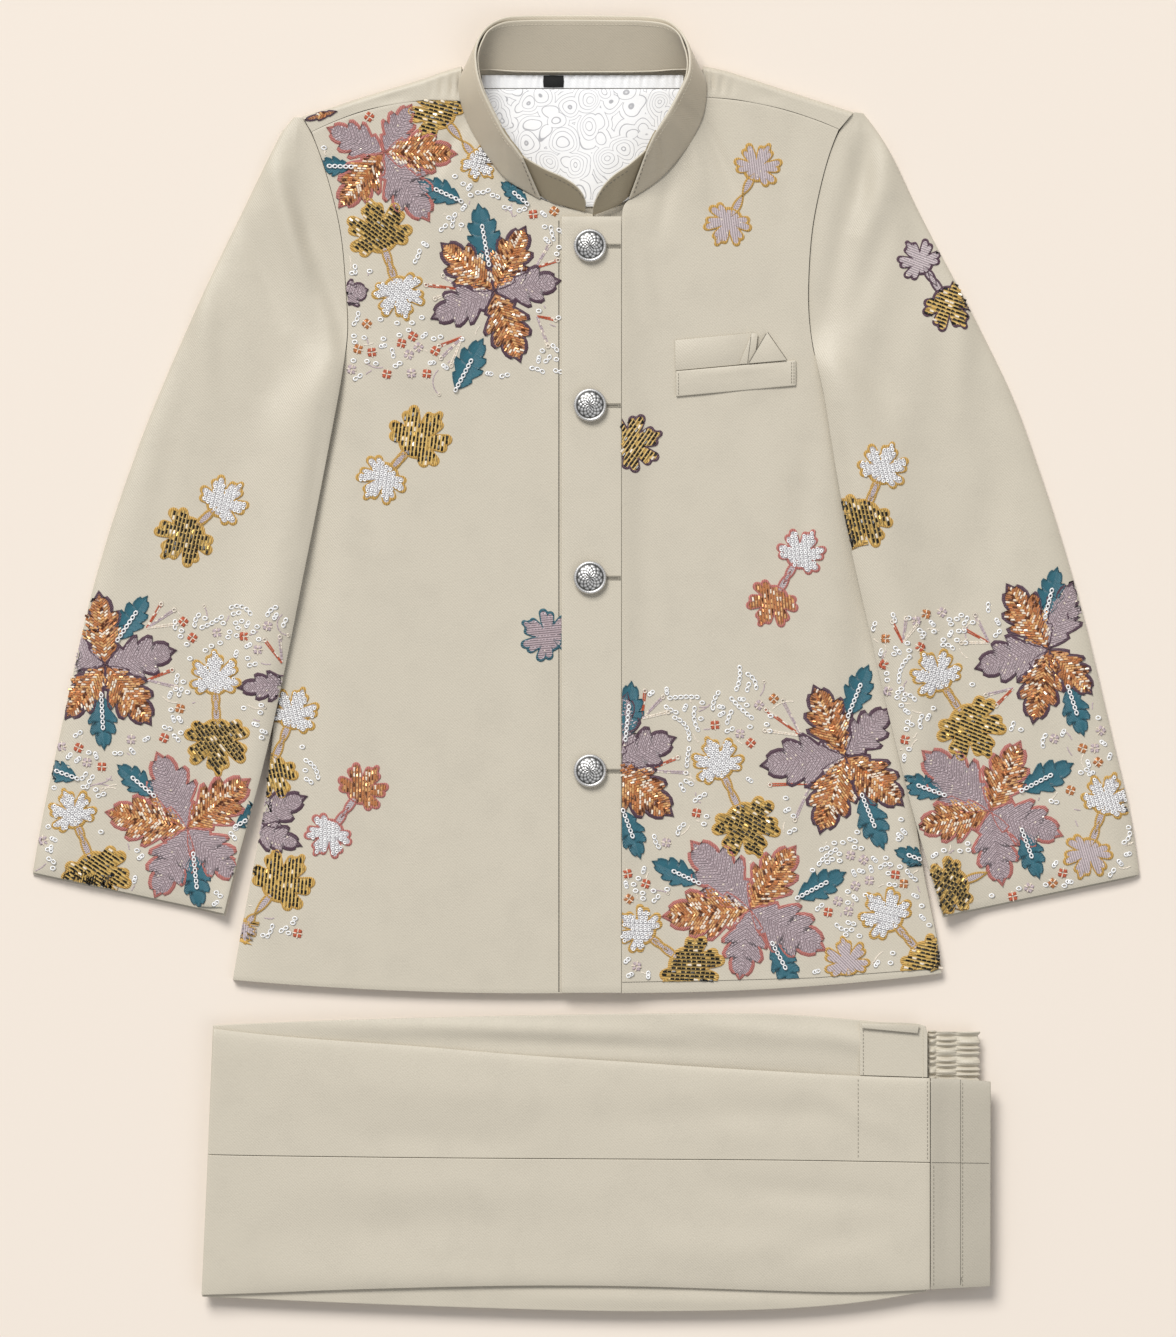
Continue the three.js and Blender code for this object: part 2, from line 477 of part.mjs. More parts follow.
// A flat-lying panel between two edge curves, over a height function, with an upright thickness
function panel({ table, rows, columns, under, thick }) {
  const curve = (xKey, yKey) => {
    const points = table.map((row) => new THREE.Vector3(row[xKey], row[yKey], row.bow ?? 0));
    return new THREE.CatmullRomCurve3(points, false, "centripetal");
  };
  const first = "ix" in table[0] ? curve("ix", "iy") : curve("lx", "ly");
  const second = "ix" in table[0] ? curve("ox", "oy") : curve("rx", "ry");
  const lower = [];
  const upper = [];
  for (const v of steps(rows)) {
    const a = first.getPoint(v);
    const b = second.getPoint(v);
    const width = Math.hypot(b.x - a.x, b.y - a.y);
    const lowRow = [];
    const highRow = [];
    for (const u of columns) {
      const x = lerp(a.x, b.x, u);
      const y = lerp(a.y, b.y, u) + 4 * u * (1 - u) * a.z;
      const z = under({ x, y, u, v, width });
      lowRow.push(new THREE.Vector3(x, y, z));
      highRow.push(new THREE.Vector3(x, y, z + thick({ x, y, u, v, width })));
    }
    lower.push(lowRow);
    upper.push(highRow);
  }
  return closedWall(lower, upper);
}

// A wall on both sides of a grid of middle points, along the grid's own normals
function wallAround(middle, wall, towards) {
  const rows = middle.length;
  const columns = middle[0].length;
  const lower = [];
  const upper = [];
  for (let i = 0; i < rows; i++) {
    const lowRow = [];
    const highRow = [];
    for (let j = 0; j < columns; j++) {
      const normal = gridNormal(middle, i, j, towards);
      lowRow.push(middle[i][j].clone().addScaledVector(normal, -wall / 2));
      highRow.push(middle[i][j].clone().addScaledVector(normal, wall / 2));
    }
    lower.push(lowRow);
    upper.push(highRow);
  }
  return closedWall(lower, upper);
}

function gridNormal(grid, i, j, towards) {
  const rows = grid.length;
  const columns = grid[0].length;
  const along = grid[Math.min(i + 1, rows - 1)][j].clone().sub(grid[Math.max(i - 1, 0)][j]);
  const across = grid[i][Math.min(j + 1, columns - 1)].clone().sub(grid[i][Math.max(j - 1, 0)]);
  const normal = along.cross(across).normalize();
  if (towards && normal.dot(towards.clone().sub(grid[i][j])) < 0) normal.negate();
  return normal;
}

function toManifold(geometry) {
  return new wasm.Manifold(new wasm.Mesh({
    numProp: 3,
    vertProperties: new Float32Array(geometry.attributes.position.array),
    triVerts: new Uint32Array(geometry.index.array),
  }));
}

function toGeometry(solid) {
  const mesh = solid.getMesh();
  const geometry = new THREE.BufferGeometry();
  geometry.setAttribute("position", new THREE.Float32BufferAttribute(mesh.vertProperties, 3));
  geometry.setIndex([...mesh.triVerts]);
  return geometry;
}

const joined = (geometries) => toGeometry(geometries.map(toManifold).reduce((a, b) => a.add(b)));

const set = new THREE.Group();
const garments = new THREE.Group();
set.add(garments);

function add(name, geometry, finish) {
  const mesh = new THREE.Mesh(geometry, new THREE.MeshStandardMaterial(finish));
  mesh.name = name;
  garments.add(mesh);
  return mesh;
}

// Jacket body
const topEdge = (row) => (u) => new THREE.Vector3(
  lerp(row.lx, row.rx, u),
  lerp(row.ly, row.ry, u) + 4 * u * (1 - u) * row.bow,
  0,
);

function shoulderFold(table, frontRow) {
  const onFront = topEdge(frontRow);
  const rows = table.map(({ ox, oy, seam }) => ({ edge: new THREE.Vector3(ox, oy, 0), chest: onFront(seam) }));
  const outline = new THREE.CatmullRomCurve3(rows.map((row) => row.edge), false, "centripetal");
  const chestSeam = new THREE.CatmullRomCurve3(rows.map((row) => row.chest), false, "centripetal");
  const reach = SHOULDER_FOLD_RADIUS + COAT_WALL / 2;
  const layLow = COAT_WALL / 2;
  const layHigh = FRONT_UNDER + COAT_WALL / 2;
  const middle = [];
  for (const v of steps(table.length + 2)) {
    const edge = outline.getPoint(v);
    const inward = chestSeam.getPoint(v).sub(edge);
    const length = inward.length() - SHOULDER_SEAM_GAP;
    inward.normalize();
    const place = (depth, z) => edge.clone().addScaledVector(inward, depth).setZ(z);
    const row = [place(reach + SHOULDER_OVERLAP, layLow)];
    for (const turn of steps(SHOULDER_FOLD_STEPS)) {
      const angle = Math.PI * turn;
      const z = lerp(layLow, layHigh, (1 - Math.cos(angle)) / 2);
      row.push(place(reach - SHOULDER_FOLD_RADIUS * Math.sin(angle), z));
    }
    row.push(place(length, layHigh));
    middle.push(row);
  }
  return wallAround(middle, COAT_WALL, null);
}

// The back has the fronts' side edges below its yoke
function backTable() {
  const right = sampledEdge(RIGHT_FRONT, "lx", "ly");
  const left = sampledEdge(LEFT_FRONT, "rx", "ry");
  const sides = right.map((point, i) => ({
    lx: point.x,
    ly: point.y,
    rx: left[i].x,
    ry: left[i].y,
    bow: BACK_HEM_BOW * clamp((-120 - point.y) / 62) ** 2,
  }));
  return [...BACK_YOKE, ...sides];
}
// Both fronts' edges at the same number of places, each row of the shorter table matched by one of the other
function sampledEdge(table, xKey, yKey) {
  const count = RIGHT_FRONT.length;
  const skip = table.length - count;
  return table.slice(skip).map((row) => ({ x: row[xKey], y: row[yKey] }));
}

const backRows = backTable();
const backSheet = panel({
  table: backRows,
  rows: backRows.length - 1,
  columns: crowdedAtEdges(8),
  under: () => 0,
  thick: () => BACK_TOP,
});
add("back", joined([
  backSheet,
  shoulderFold(RIGHT_SHOULDER, RIGHT_FRONT[0]),
  shoulderFold(LEFT_SHOULDER, LEFT_FRONT[0]),
]), cloth);

add("front_right", panel({
  table: RIGHT_FRONT,
  rows: RIGHT_FRONT.length - 1,
  columns: crowdedAtEdges(10),
  under: ({ x, y }) => frontUnder(x, y),
  thick: () => COAT_WALL,
}), cloth);

add("front_left", panel({
  table: LEFT_FRONT,
  rows: LEFT_FRONT.length - 1,
  columns: crowdedAtEdges(10),
  under: ({ x, y }) => leftFrontUnder(x, y),
  thick: () => COAT_WALL,
}), cloth);

add("placket", panel({
  table: [
    { lx: PLACKET_LEFT_X, ly: PLACKET_TOP_Y, rx: PLACKET_RIGHT_X, ry: PLACKET_TOP_Y },
    { lx: PLACKET_LEFT_X, ly: HEM_Y, rx: PLACKET_RIGHT_X, ry: HEM_Y },
  ],
  rows: 12,
  columns: [0, 0.06, 0.2, 0.5, 0.8, 1],
  under: ({ x, y }) => placketUnder(x, y),
  thick: ({ u, width }) => PLACKET_WALL * thinned(u * width),
}), cloth);

// Sleeves
function sleeveParts(side, table) {
  const longer = table.map((row) => ({ ...row }));
  const cuff = longer[longer.length - 1];
  cuff.iy -= UNDER_CUFF_REACH;
  cuff.oy -= UNDER_CUFF_REACH;
  const columns = crowdedAtEdges(11);
  add(`sleeve_${side}_under`, panel({
    table: longer,
    rows: table.length - 1,
    columns,
    under: ({ x, y }) => sleeveFloor(x, y),
    thick: () => SLEEVE_WALL,
  }), cloth);
  add(`sleeve_${side}_top`, panel({
    table,
    rows: table.length - 1,
    columns,
    under: ({ x, y, u, width }) => {
      const atArmhole = ease((y - UNDERARM_Y) / (2 * SIDE_ROLL) + 0.5);
      const inner = Math.max(atArmhole, roundOver((u * width) / SLEEVE_ROLL));
      const outer = roundOver(((1 - u) * width) / SLEEVE_ROLL);
      const swell = SLEEVE_PUFF * Math.min(inner, outer);
      const dip = Math.min(creaseDip(x, y), DEEPEST_CREASE * swell);
      return sleeveFloor(x, y) + SLEEVE_WALL + SEAM + swell - dip;
    },
    thick: ({ u, width }) => SLEEVE_WALL * thinned((1 - u) * width),
  }), cloth);
}

function sleeveTable(cap, armholeOuter, sleeve, armholeInner) {
  const beside = armholeOuter.map((row, i) => ({ ...row, ...armholeInner(i) }));
  return [cap, ...beside, ...sleeve];
}
sleeveParts("right", sleeveTable(RIGHT_CAP, RIGHT_ARMHOLE_OUTER, RIGHT_SLEEVE, (i) => ({
  ix: RIGHT_FRONT[i].lx - ARMHOLE_GAP,
  iy: RIGHT_FRONT[i].ly,
})));
sleeveParts("left", sleeveTable(LEFT_CAP, LEFT_ARMHOLE_OUTER, LEFT_SLEEVE, (i) => ({
  ix: LEFT_FRONT[i].rx + ARMHOLE_GAP,
  iy: LEFT_FRONT[i].ry,
})));

// Collar
const collarCurve = (x, y, z) => new THREE.CatmullRomCurve3(
  COLLAR.map((row) => new THREE.Vector3(row[x], row[y], row[z])),
  false,
  "centripetal",
);
const collarFoot = collarCurve("bx", "by", "bz");
const collarEdge = collarCurve("tx", "ty", "tz");

// Points on the band: along in table rows, up from 0 at the foot to 1 at the top edge
function collarPoint(along, up, inward) {
  const t = along / (COLLAR.length - 1);
  const foot = collarFoot.getPoint(t);
  const edge = collarEdge.getPoint(t);
  const forward = collarFoot.getPoint(Math.min(t + 0.01, 1)).sub(collarFoot.getPoint(Math.max(t - 0.01, 0)));
  const normal = forward.cross(edge.clone().sub(foot)).normalize();
  if (normal.dot(NECK_MIDDLE.clone().sub(foot)) < 0) normal.negate();
  return foot.lerp(edge, up).addScaledVector(normal, inward);
}

function collarGrid(from, to, count, ups, inward) {
  return steps(count).map((s) => ups.map((up) => collarPoint(lerp(from, to, s), up, inward)));
}

const lastRow = COLLAR.length - 1;
add("collar_outer", wallAround(
  collarGrid(0, lastRow, lastRow * 2, [0, 0.33, 0.66, 1], 0),
  OUTER_COLLAR_WALL,
  NECK_MIDDLE,
), cloth);
add("collar_inner", wallAround(
  collarGrid(
    TAB_START + TAB_GAP,
    lastRow - TAB_START - TAB_GAP,
    (lastRow - 2 * TAB_START) * 2,
    [0.02, 0.33, 0.66, 0.93],
    COLLAR_LAYER_STEP,
  ),
  INNER_COLLAR_WALL,
  NECK_MIDDLE,
), cloth);

function collarTab(name, from, to, table) {
  const ups = [0, 0.33, 0.66, 1];
  const grid = collarGrid(from, to, TAB_STEPS, ups.map((up) => up * TAB_TOP), COLLAR_LAYER_STEP);
  for (const row of table) {
    const foot = new THREE.Vector3(row.bx, row.by, row.bz);
    const edge = new THREE.Vector3(row.tx, row.ty, row.tz);
    grid.push(ups.map((up) => foot.clone().lerp(edge, up)));
  }
  add(name, wallAround(grid, INNER_COLLAR_WALL, null), tabCloth);
}
collarTab("collar_tab_right", TAB_START, 0.05, RIGHT_TAB);
collarTab("collar_tab_left", lastRow - TAB_START, lastRow - 0.05, LEFT_TAB);

// Neck lining, gathered strip and blank label
const LINING_TOP = BACK_TOP + SEAM + LINING_WALL;
add("neck_lining", panel({
  table: BACK_LINING,
  rows: BACK_LINING.length - 1,
  columns: steps(6),
  under: () => BACK_TOP + SEAM,
  thick: () => LINING_WALL,
}), lining);
add("lining_strip", panel({
  table: [
    { lx: STRIP.left, ly: STRIP.high, rx: STRIP.right, ry: STRIP.high },
    { lx: STRIP.left, ly: STRIP.low, rx: STRIP.right, ry: STRIP.low },
  ],
  rows: 2,
  columns: steps(STRIP.gathers * 3),
  under: () => BACK_TOP + SEAM,
  thick: ({ x, u, v }) => {
    const gather = (1 + Math.sin(2 * Math.PI * STRIP.gathers * u)) / 2;
    const underLabel = x > LABEL.left - STRIP.margin && x < LABEL.right + STRIP.margin;
    return LINING_WALL + (underLabel ? 0 : STRIP.rise * gather * (1 - v / 2));
  },
}), lining);
const labelSheet = new THREE.BoxGeometry(LABEL.right - LABEL.left, LABEL.high - LABEL.low, LABEL.wall);
labelSheet.translate(
  (LABEL.left + LABEL.right) / 2,
  (LABEL.high + LABEL.low) / 2,
  LINING_TOP + SEAM + LABEL.wall / 2,
);
add("neck_label", labelSheet, labelCloth);

// Breast pocket
add("pocket_welt", panel({
  table: [
    { lx: WELT.left, ly: WELT.leftLow + WELT.high, rx: WELT.right, ry: WELT.rightLow + WELT.high },
    { lx: WELT.left, ly: WELT.leftLow, rx: WELT.right, ry: WELT.rightLow },
  ],
  rows: 4,
  columns: steps(8),
  under: ({ x, y }) => leftFrontUnder(x, y) + COAT_WALL + SEAM,
  thick: ({ v }) => WELT.wall * lerp(THIN_EDGE, 1, Math.sin(Math.PI * v)),
}), cloth);

function flatShape(outline, wall, z) {
  const shape = new THREE.Shape(outline.map(([x, y]) => new THREE.Vector2(x, y)));
  const geometry = new THREE.ExtrudeGeometry(shape, { depth: wall, bevelEnabled: false });
  geometry.translate(0, 0, z);
  return mergedOnly(geometry);
}
function mergedOnly(geometry) {
  const seen = new Map();
  const points = [];
  const index = [];
  const source = geometry.attributes.position;
  for (let k = 0; k < source.count; k++) {
    const at = geometry.index ? geometry.index.getX(k) : k;
    const point = new THREE.Vector3().fromBufferAttribute(source, at);
    const key = point.toArray().map((value) => value.toFixed(4)).join(" ");
    if (!seen.has(key)) {
      seen.set(key, points.length);
      points.push(point);
    }
    index.push(seen.get(key));
  }
  const merged = new THREE.BufferGeometry();
  merged.setAttribute("position", new THREE.Float32BufferAttribute(points.flatMap((p) => p.toArray()), 3));
  merged.setIndex(index);
  return merged;
}
const SQUARE_Z = FRONT_TOP + SEAM;
add("pocket_square", joined([
  flatShape(SQUARE_FLAT, SQUARE_WALL, SQUARE_Z),
  flatShape(SQUARE_PEAK, SQUARE_WALL * 1.6, SQUARE_Z),
]), cloth);

// Buttons: a domed head with a turned edge, on a shank
const BUTTON_FOOT = FRONT_TOP + SEAM + PLACKET_WALL + SEAM;
function buttonProfile() {
  const head = SHANK_HEIGHT;
  const rim = head + BUTTON_EDGE;
  return [
    [0, 0], [SHANK_RADIUS, 0], [SHANK_RADIUS, head], [BUTTON_RADIUS - 1.2, head], [BUTTON_RADIUS, head + 0.9],
    [BUTTON_RADIUS - 0.3, rim - 0.2], [BUTTON_RADIUS - 1.1, rim], [BUTTON_RADIUS - 1.9, rim - 0.4],
    [BUTTON_RADIUS * 0.6, rim + BUTTON_DOME * 0.55], [BUTTON_RADIUS * 0.3, rim + BUTTON_DOME * 0.9],
    [0, rim + BUTTON_DOME],
  ].map(([radius, z]) => new THREE.Vector2(radius, z));
}
BUTTON_YS.forEach((y, i) => {
  const geometry = new THREE.LatheGeometry(buttonProfile(), 16);
  geometry.rotateX(Math.PI / 2);
  geometry.translate(CENTRE_FRONT_X, y, BUTTON_FOOT);
  add(`button_${i + 1}`, geometry, pewter);
});

// Trousers: hidden layers as one rounded solid with grooves between them at its edges
function trouserCore() {
  const curve = (xKey, yKey) => {
    const points = CORE.map((row) => new THREE.Vector3(row[xKey], row[yKey], 0));
    return new THREE.CatmullRomCurve3(points, false, "centripetal");
  };
  const high = curve("lx", "ly");
  const low = curve("rx", "ry");
  const edge = steps(CORE_LAYERS * CORE_POINTS_PER_LAYER).map((level) => {
    const bulge = Math.abs(Math.sin(Math.PI * CORE_LAYERS * level)) ** GROOVE_SHARPNESS;
    return { level, inset: CORE_INSET + CORE_GROOVE * (1 - bulge) };
  });
  const rings = [];
  for (const v of steps((CORE.length - 1) * 2)) {
    const a = high.getPoint(v);
    const b = low.getPoint(v);
    const inward = b.clone().sub(a).normalize();
    const top = lerp(CORE_TOP, CORE_TOP_AT_WAIST, clamp((a.x - CORE_STEP_X) / CORE_STEP_LENGTH));
    const ring = edge.map(({ level, inset }) => a.clone().addScaledVector(inward, inset).setZ(level * top));
    const back = edge.map(({ level, inset }) => b.clone().addScaledVector(inward, -inset).setZ(level * top));
    rings.push([...ring, ...back.reverse()]);
  }
  return closedLoft(rings);
}

// A closed solid through rings of the same number of points, with flat ends
function closedLoft(rings) {
  const count = rings[0].length;
  const points = rings.flat();
  const index = [];
  for (let i = 0; i < rings.length - 1; i++) {
    for (let j = 0; j < count; j++) {
      const next = (j + 1) % count;
      const [a, b, c, d] = [i * count + j, i * count + next, (i + 1) * count + next, (i + 1) * count + j];
      index.push(a, b, c, a, c, d);
    }
  }
  for (const [ring, turn] of [[0, 1], [rings.length - 1, -1]]) {
    const outline = rings[ring].map((p) => new THREE.Vector2(p.y, p.z));
    for (const [a, b, c] of THREE.ShapeUtils.triangulateShape(outline, [])) {
      const start = ring * count;
      index.push(...(turn > 0 ? [start + a, start + c, start + b] : [start + a, start + b, start + c]));
    }
  }
  const geometry = new THREE.BufferGeometry();
  geometry.setAttribute("position", new THREE.Float32BufferAttribute(points.flatMap((p) => p.toArray()), 3));
  geometry.setIndex(signedVolume(points, index) < 0 ? [...index].reverse() : index);
  return geometry;
}
add("trouser_layers", trouserCore(), cloth);

add("trouser_leg_under", panel({
  table: UNDER_LEG,
  rows: 14,
  columns: crowdedAtEdges(8),
  under: () => LEG_UNDER,
  thick: ({ u, width }) => {
    return TROUSER_WALL * thinned(Math.min(u, 1 - u) * width);
  },
}), cloth);

// The upper leg swells in its middle and rolls down at its folds, not at the side seam
function upperUnder(openEdge) {
  return ({ x, u, width }) => {
    const fromFold = openEdge === "first" ? u * width : (1 - u) * width;
    const swell = Math.min(roundOver(fromFold / FOLD_ROLL), roundOver((x - KNEE_X) / KNEE_ROLL));
    return UPPER_UNDER + UPPER_PUFF * swell;
  };
}
add("trouser_upper_back", panel({
  table: UPPER_BACK,
  rows: 14,
  columns: crowdedAtEdges(7),
  under: upperUnder("first"),
  thick: () => TROUSER_WALL,
}), cloth);
add("trouser_upper_front", panel({
  table: UPPER_FRONT,
  rows: 14,
  columns: crowdedAtEdges(7),
  under: upperUnder("last"),
  thick: () => TROUSER_WALL,
}), cloth);
add("trouser_waistband", panel({
  table: WAISTBAND,
  rows: 4,
  columns: crowdedAtEdges(10),
  under: ({ u, width }) => {
    const fromEdge = Math.min(u, 1 - u) * width;
    return UPPER_UNDER + UPPER_PUFF * roundOver(fromEdge / FOLD_ROLL);
  },
  thick: () => TROUSER_WALL + WAISTBAND_EXTRA,
}), cloth);
add("trouser_hip_panel", panel({
  table: HIP_PANEL,
  rows: 8,
  columns: crowdedAtEdges(6),
  under: () => UPPER_UNDER,
  thick: ({ u, width }) => TROUSER_WALL * thinned(u * width),
}), cloth);

// Ruched elastic: three stitched channels, with gathers raised over a plain inside
const elasticHeight = ELASTIC_SPAN.high - ELASTIC_SPAN.low;
const elasticGathers = Math.round(elasticHeight / GATHER_PITCH);
const elasticSeams = [ELASTIC.start, ELASTIC.firstChannel, ELASTIC.secondChannel, ELASTIC.end];
function channelRise(x) {
  const next = elasticSeams.findIndex((seam) => seam > x);
  if (next <= 0) return 0;
  const [from, to] = [elasticSeams[next - 1], elasticSeams[next]];
  return Math.sqrt(Math.sin((Math.PI * (x - from)) / (to - from)));
}
add("elastic_waistband", panel({
  table: [
    { lx: ELASTIC.start, ly: ELASTIC_SPAN.high, rx: ELASTIC.end, ry: ELASTIC_SPAN.high },
    { lx: ELASTIC.start, ly: ELASTIC_SPAN.low, rx: ELASTIC.end, ry: ELASTIC_SPAN.low },
  ],
  rows: elasticGathers * 3,
  columns: [0, 0.07, 0.137, 0.26, 0.44, 0.563, 0.7, 0.87, 1],
  under: () => CORE_TOP_AT_WAIST + SEAM,
  thick: ({ x, v }) => {
    const gather = (1 + Math.cos(2 * Math.PI * elasticGathers * v)) / 2;
    return ELASTIC_WALL + GATHER_RISE * gather * channelRise(x);
  },
}), cloth);

// The whole set is centred on the origin and stands on the floor
const bounds = new THREE.Box3().setFromObject(garments);
garments.position.set(-(bounds.min.x + bounds.max.x) / 2, -(bounds.min.y + bounds.max.y) / 2, -bounds.min.z);

export default set;
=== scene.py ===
# %% [markdown]
# # A child's sherwani set, laid flat
#
# The set is a short buttoned jacket with a stand collar and a pair of trousers folded below it.
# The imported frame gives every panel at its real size. This script dresses it: cloth with soft folds,
# piped edges, stitching, carved buttons, a printed neck lining, and embroidery in thread, sequins and
# beads. Right and left are the wearer's own, so the right front lies on the side of -X.

import math
import random

import bmesh
import bpy
import numpy as np
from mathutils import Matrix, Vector
from mathutils.bvhtree import BVHTree
from mathutils.kdtree import KDTree


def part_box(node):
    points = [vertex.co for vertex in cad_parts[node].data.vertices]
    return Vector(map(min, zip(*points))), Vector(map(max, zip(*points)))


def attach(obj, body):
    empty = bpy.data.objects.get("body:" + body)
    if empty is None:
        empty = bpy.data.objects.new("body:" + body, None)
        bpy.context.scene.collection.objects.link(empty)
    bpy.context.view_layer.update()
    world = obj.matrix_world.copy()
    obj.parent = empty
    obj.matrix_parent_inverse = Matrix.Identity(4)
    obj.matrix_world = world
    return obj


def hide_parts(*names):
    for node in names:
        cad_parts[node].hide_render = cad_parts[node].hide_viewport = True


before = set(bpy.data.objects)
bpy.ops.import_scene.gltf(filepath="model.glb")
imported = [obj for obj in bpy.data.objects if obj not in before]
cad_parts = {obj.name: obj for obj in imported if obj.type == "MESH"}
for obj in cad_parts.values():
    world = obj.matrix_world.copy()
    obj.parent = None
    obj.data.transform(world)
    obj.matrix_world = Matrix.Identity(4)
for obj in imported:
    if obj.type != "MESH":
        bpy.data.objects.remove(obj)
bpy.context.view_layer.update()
MM = 0.001
SEED = 7
chance = random.Random(SEED)
print("nodes in the frame:", len(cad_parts))

# %% [markdown]
# ## The camera
# The photograph looks straight down, so a far camera with a long lens is used: it keeps the collar's high
# edge over its foot, as the photograph does. The lens is worked out from the height of the view.

# %% Camera
VIEW_HEIGHT = 768.8 * MM
VIEW_CENTRE = Vector((1.15, -2.76, 0)) * MM
VIEW_PLANE = 9 * MM
CAMERA_RISE = 5.0
SENSOR_WIDTH = 36
camera_data = bpy.data.cameras.new("camera")
camera_data.sensor_width = SENSOR_WIDTH
camera_data.lens = SENSOR_WIDTH * CAMERA_RISE / VIEW_HEIGHT
camera = bpy.data.objects.new("camera", camera_data)
camera.location = VIEW_CENTRE + Vector((0, 0, VIEW_PLANE + CAMERA_RISE))
bpy.context.scene.collection.objects.link(camera)
bpy.context.scene.camera = camera
print("lens", round(camera_data.lens, 1), "mm")

# %% [markdown]
# ## Light and floor
# The set lies on a cream surface under wide soft light. One large lamp, high beyond the top of the picture
# and a little to its left, gives the soft shadows below and to the right of each edge. A weaker one fills
# from the lower right, and a pale sky keeps the hollows open.

# %% Light and floor
SKY_COLOUR = (0.95, 0.97, 1.0, 1)
SKY_STRENGTH = 0.38
# Name, place and size in metres, watts and colour
LAMPS = [
    ("key_lamp", (-5.3, 11.8, 13.4), 8.3, 3530, (1.0, 0.985, 0.96)),
    ("fill_lamp", (4.2, -3.9, 7.8), 6.6, 126, (1.0, 0.99, 0.98)),
]
FLOOR_SIZE = 6.0
PAPER = (0.785, 0.704, 0.622)
scene = bpy.context.scene
scene.view_settings.view_transform = "Standard"
sky = bpy.data.worlds.new("sky")
sky.use_nodes = True
background = sky.node_tree.nodes["Background"]
background.inputs["Color"].default_value = SKY_COLOUR
background.inputs["Strength"].default_value = SKY_STRENGTH
scene.world = sky
for name, place, size, watts, colour in LAMPS:
    data = bpy.data.lights.new(name, "AREA")
    data.size = size
    data.energy = watts
    data.color = colour
    lamp = bpy.data.objects.new(name, data)
    lamp.location = place
    lamp.rotation_mode = "QUATERNION"
    lamp.rotation_quaternion = (-Vector(place)).to_track_quat("-Z", "Y")
    scene.collection.objects.link(lamp)


def plain_material(name, colour, roughness):
    made = bpy.data.materials.new(name)
    made.use_nodes = True
    shader = made.node_tree.nodes["Principled BSDF"]
    shader.inputs["Base Color"].default_value = (*colour, 1)
    shader.inputs["Roughness"].default_value = roughness
    return made


floor_mesh = bmesh.new()
bmesh.ops.create_grid(floor_mesh, x_segments=1, y_segments=1, size=FLOOR_SIZE / 2)
floor_data = bpy.data.meshes.new("floor")
floor_mesh.to_mesh(floor_data)
floor_mesh.free()
floor = bpy.data.objects.new("floor", floor_data)
floor.data.materials.append(plain_material("cream_paper", PAPER, 0.9))
scene.collection.objects.link(floor)

# %% [markdown]
# ## Cloth finishes
# The suiting is a smooth satin twill: a fine diagonal grain, a faint unevenness of colour and a slight
# sheen. Each finish here is worked out by nodes from the object's own coordinates, which are metres, so the
# grain has its real size on every piece.


# %% Finishes in nodes
def finish(name, colour, roughness):
    """A named material with its node tree and shader."""
    made = plain_material(name, colour, roughness)
    tree = made.node_tree
    return made, tree, tree.nodes["Principled BSDF"]


def add_node(tree, kind, **sockets):
    made = tree.nodes.new(kind)
    for name, value in sockets.items():
        made.inputs[name.replace("_", " ")].default_value = value
    return made


def noise_at(tree, scale, detail):
    """Noise by the object's own coordinates: its scale is in cells for each metre."""
    place = tree.nodes.new("ShaderNodeTexCoord")
    made = add_node(tree, "ShaderNodeTexNoise", Scale=scale, Detail=detail)
    tree.links.new(place.outputs["Object"], made.inputs["Vector"])
    return made.outputs["Fac"]


def maths(tree, operation, *terms):
    """The result of a maths node, whose terms are numbers or other nodes' outputs."""
    made = tree.nodes.new("ShaderNodeMath")
    made.operation = operation
    for socket, term in zip(made.inputs, terms):
        if isinstance(term, float):
            socket.default_value = term
        else:
            tree.links.new(term, socket)
    return made.outputs[0]


def coloured(tree, shader, factor, low, high):
    """The shader's colour runs between two stops, each a position and a colour, as the factor rises."""
    made = tree.nodes.new("ShaderNodeValToRGB")
    for element, (position, colour) in zip(made.color_ramp.elements, (low, high)):
        element.position = position
        element.color = (*colour, 1)
    tree.links.new(factor, made.inputs["Fac"])
    tree.links.new(made.outputs["Color"], shader.inputs["Base Color"])


def bumped(tree, shader, heights):
    """Joins bump nodes one after another: pairs of a height output and a depth in metres."""
    below = None
    for height, depth in heights:
        bump = add_node(tree, "ShaderNodeBump", Strength=1.0, Distance=depth)
        tree.links.new(height, bump.inputs["Height"])
        if below:
            tree.links.new(below.outputs["Normal"], bump.inputs["Normal"])
        below = bump
    tree.links.new(below.outputs["Normal"], shader.inputs["Normal"])


def scaled(colour, factor):
    return tuple(min(1.0, value * factor) for value in colour)


GRAIN_PITCH = 0.9 * MM
BANDS_PER_UNIT = 20 / (2 * math.pi)
UNEVEN_SCALE = 55
FIBRE_SCALE = 1400
FIBRE_SHARE = 0.9
DARK_AT = 0.72
PALE_AT = 1.18 / 1.2
NAP_SCALE = 900
NAP_DEPTH = 0.11 * MM


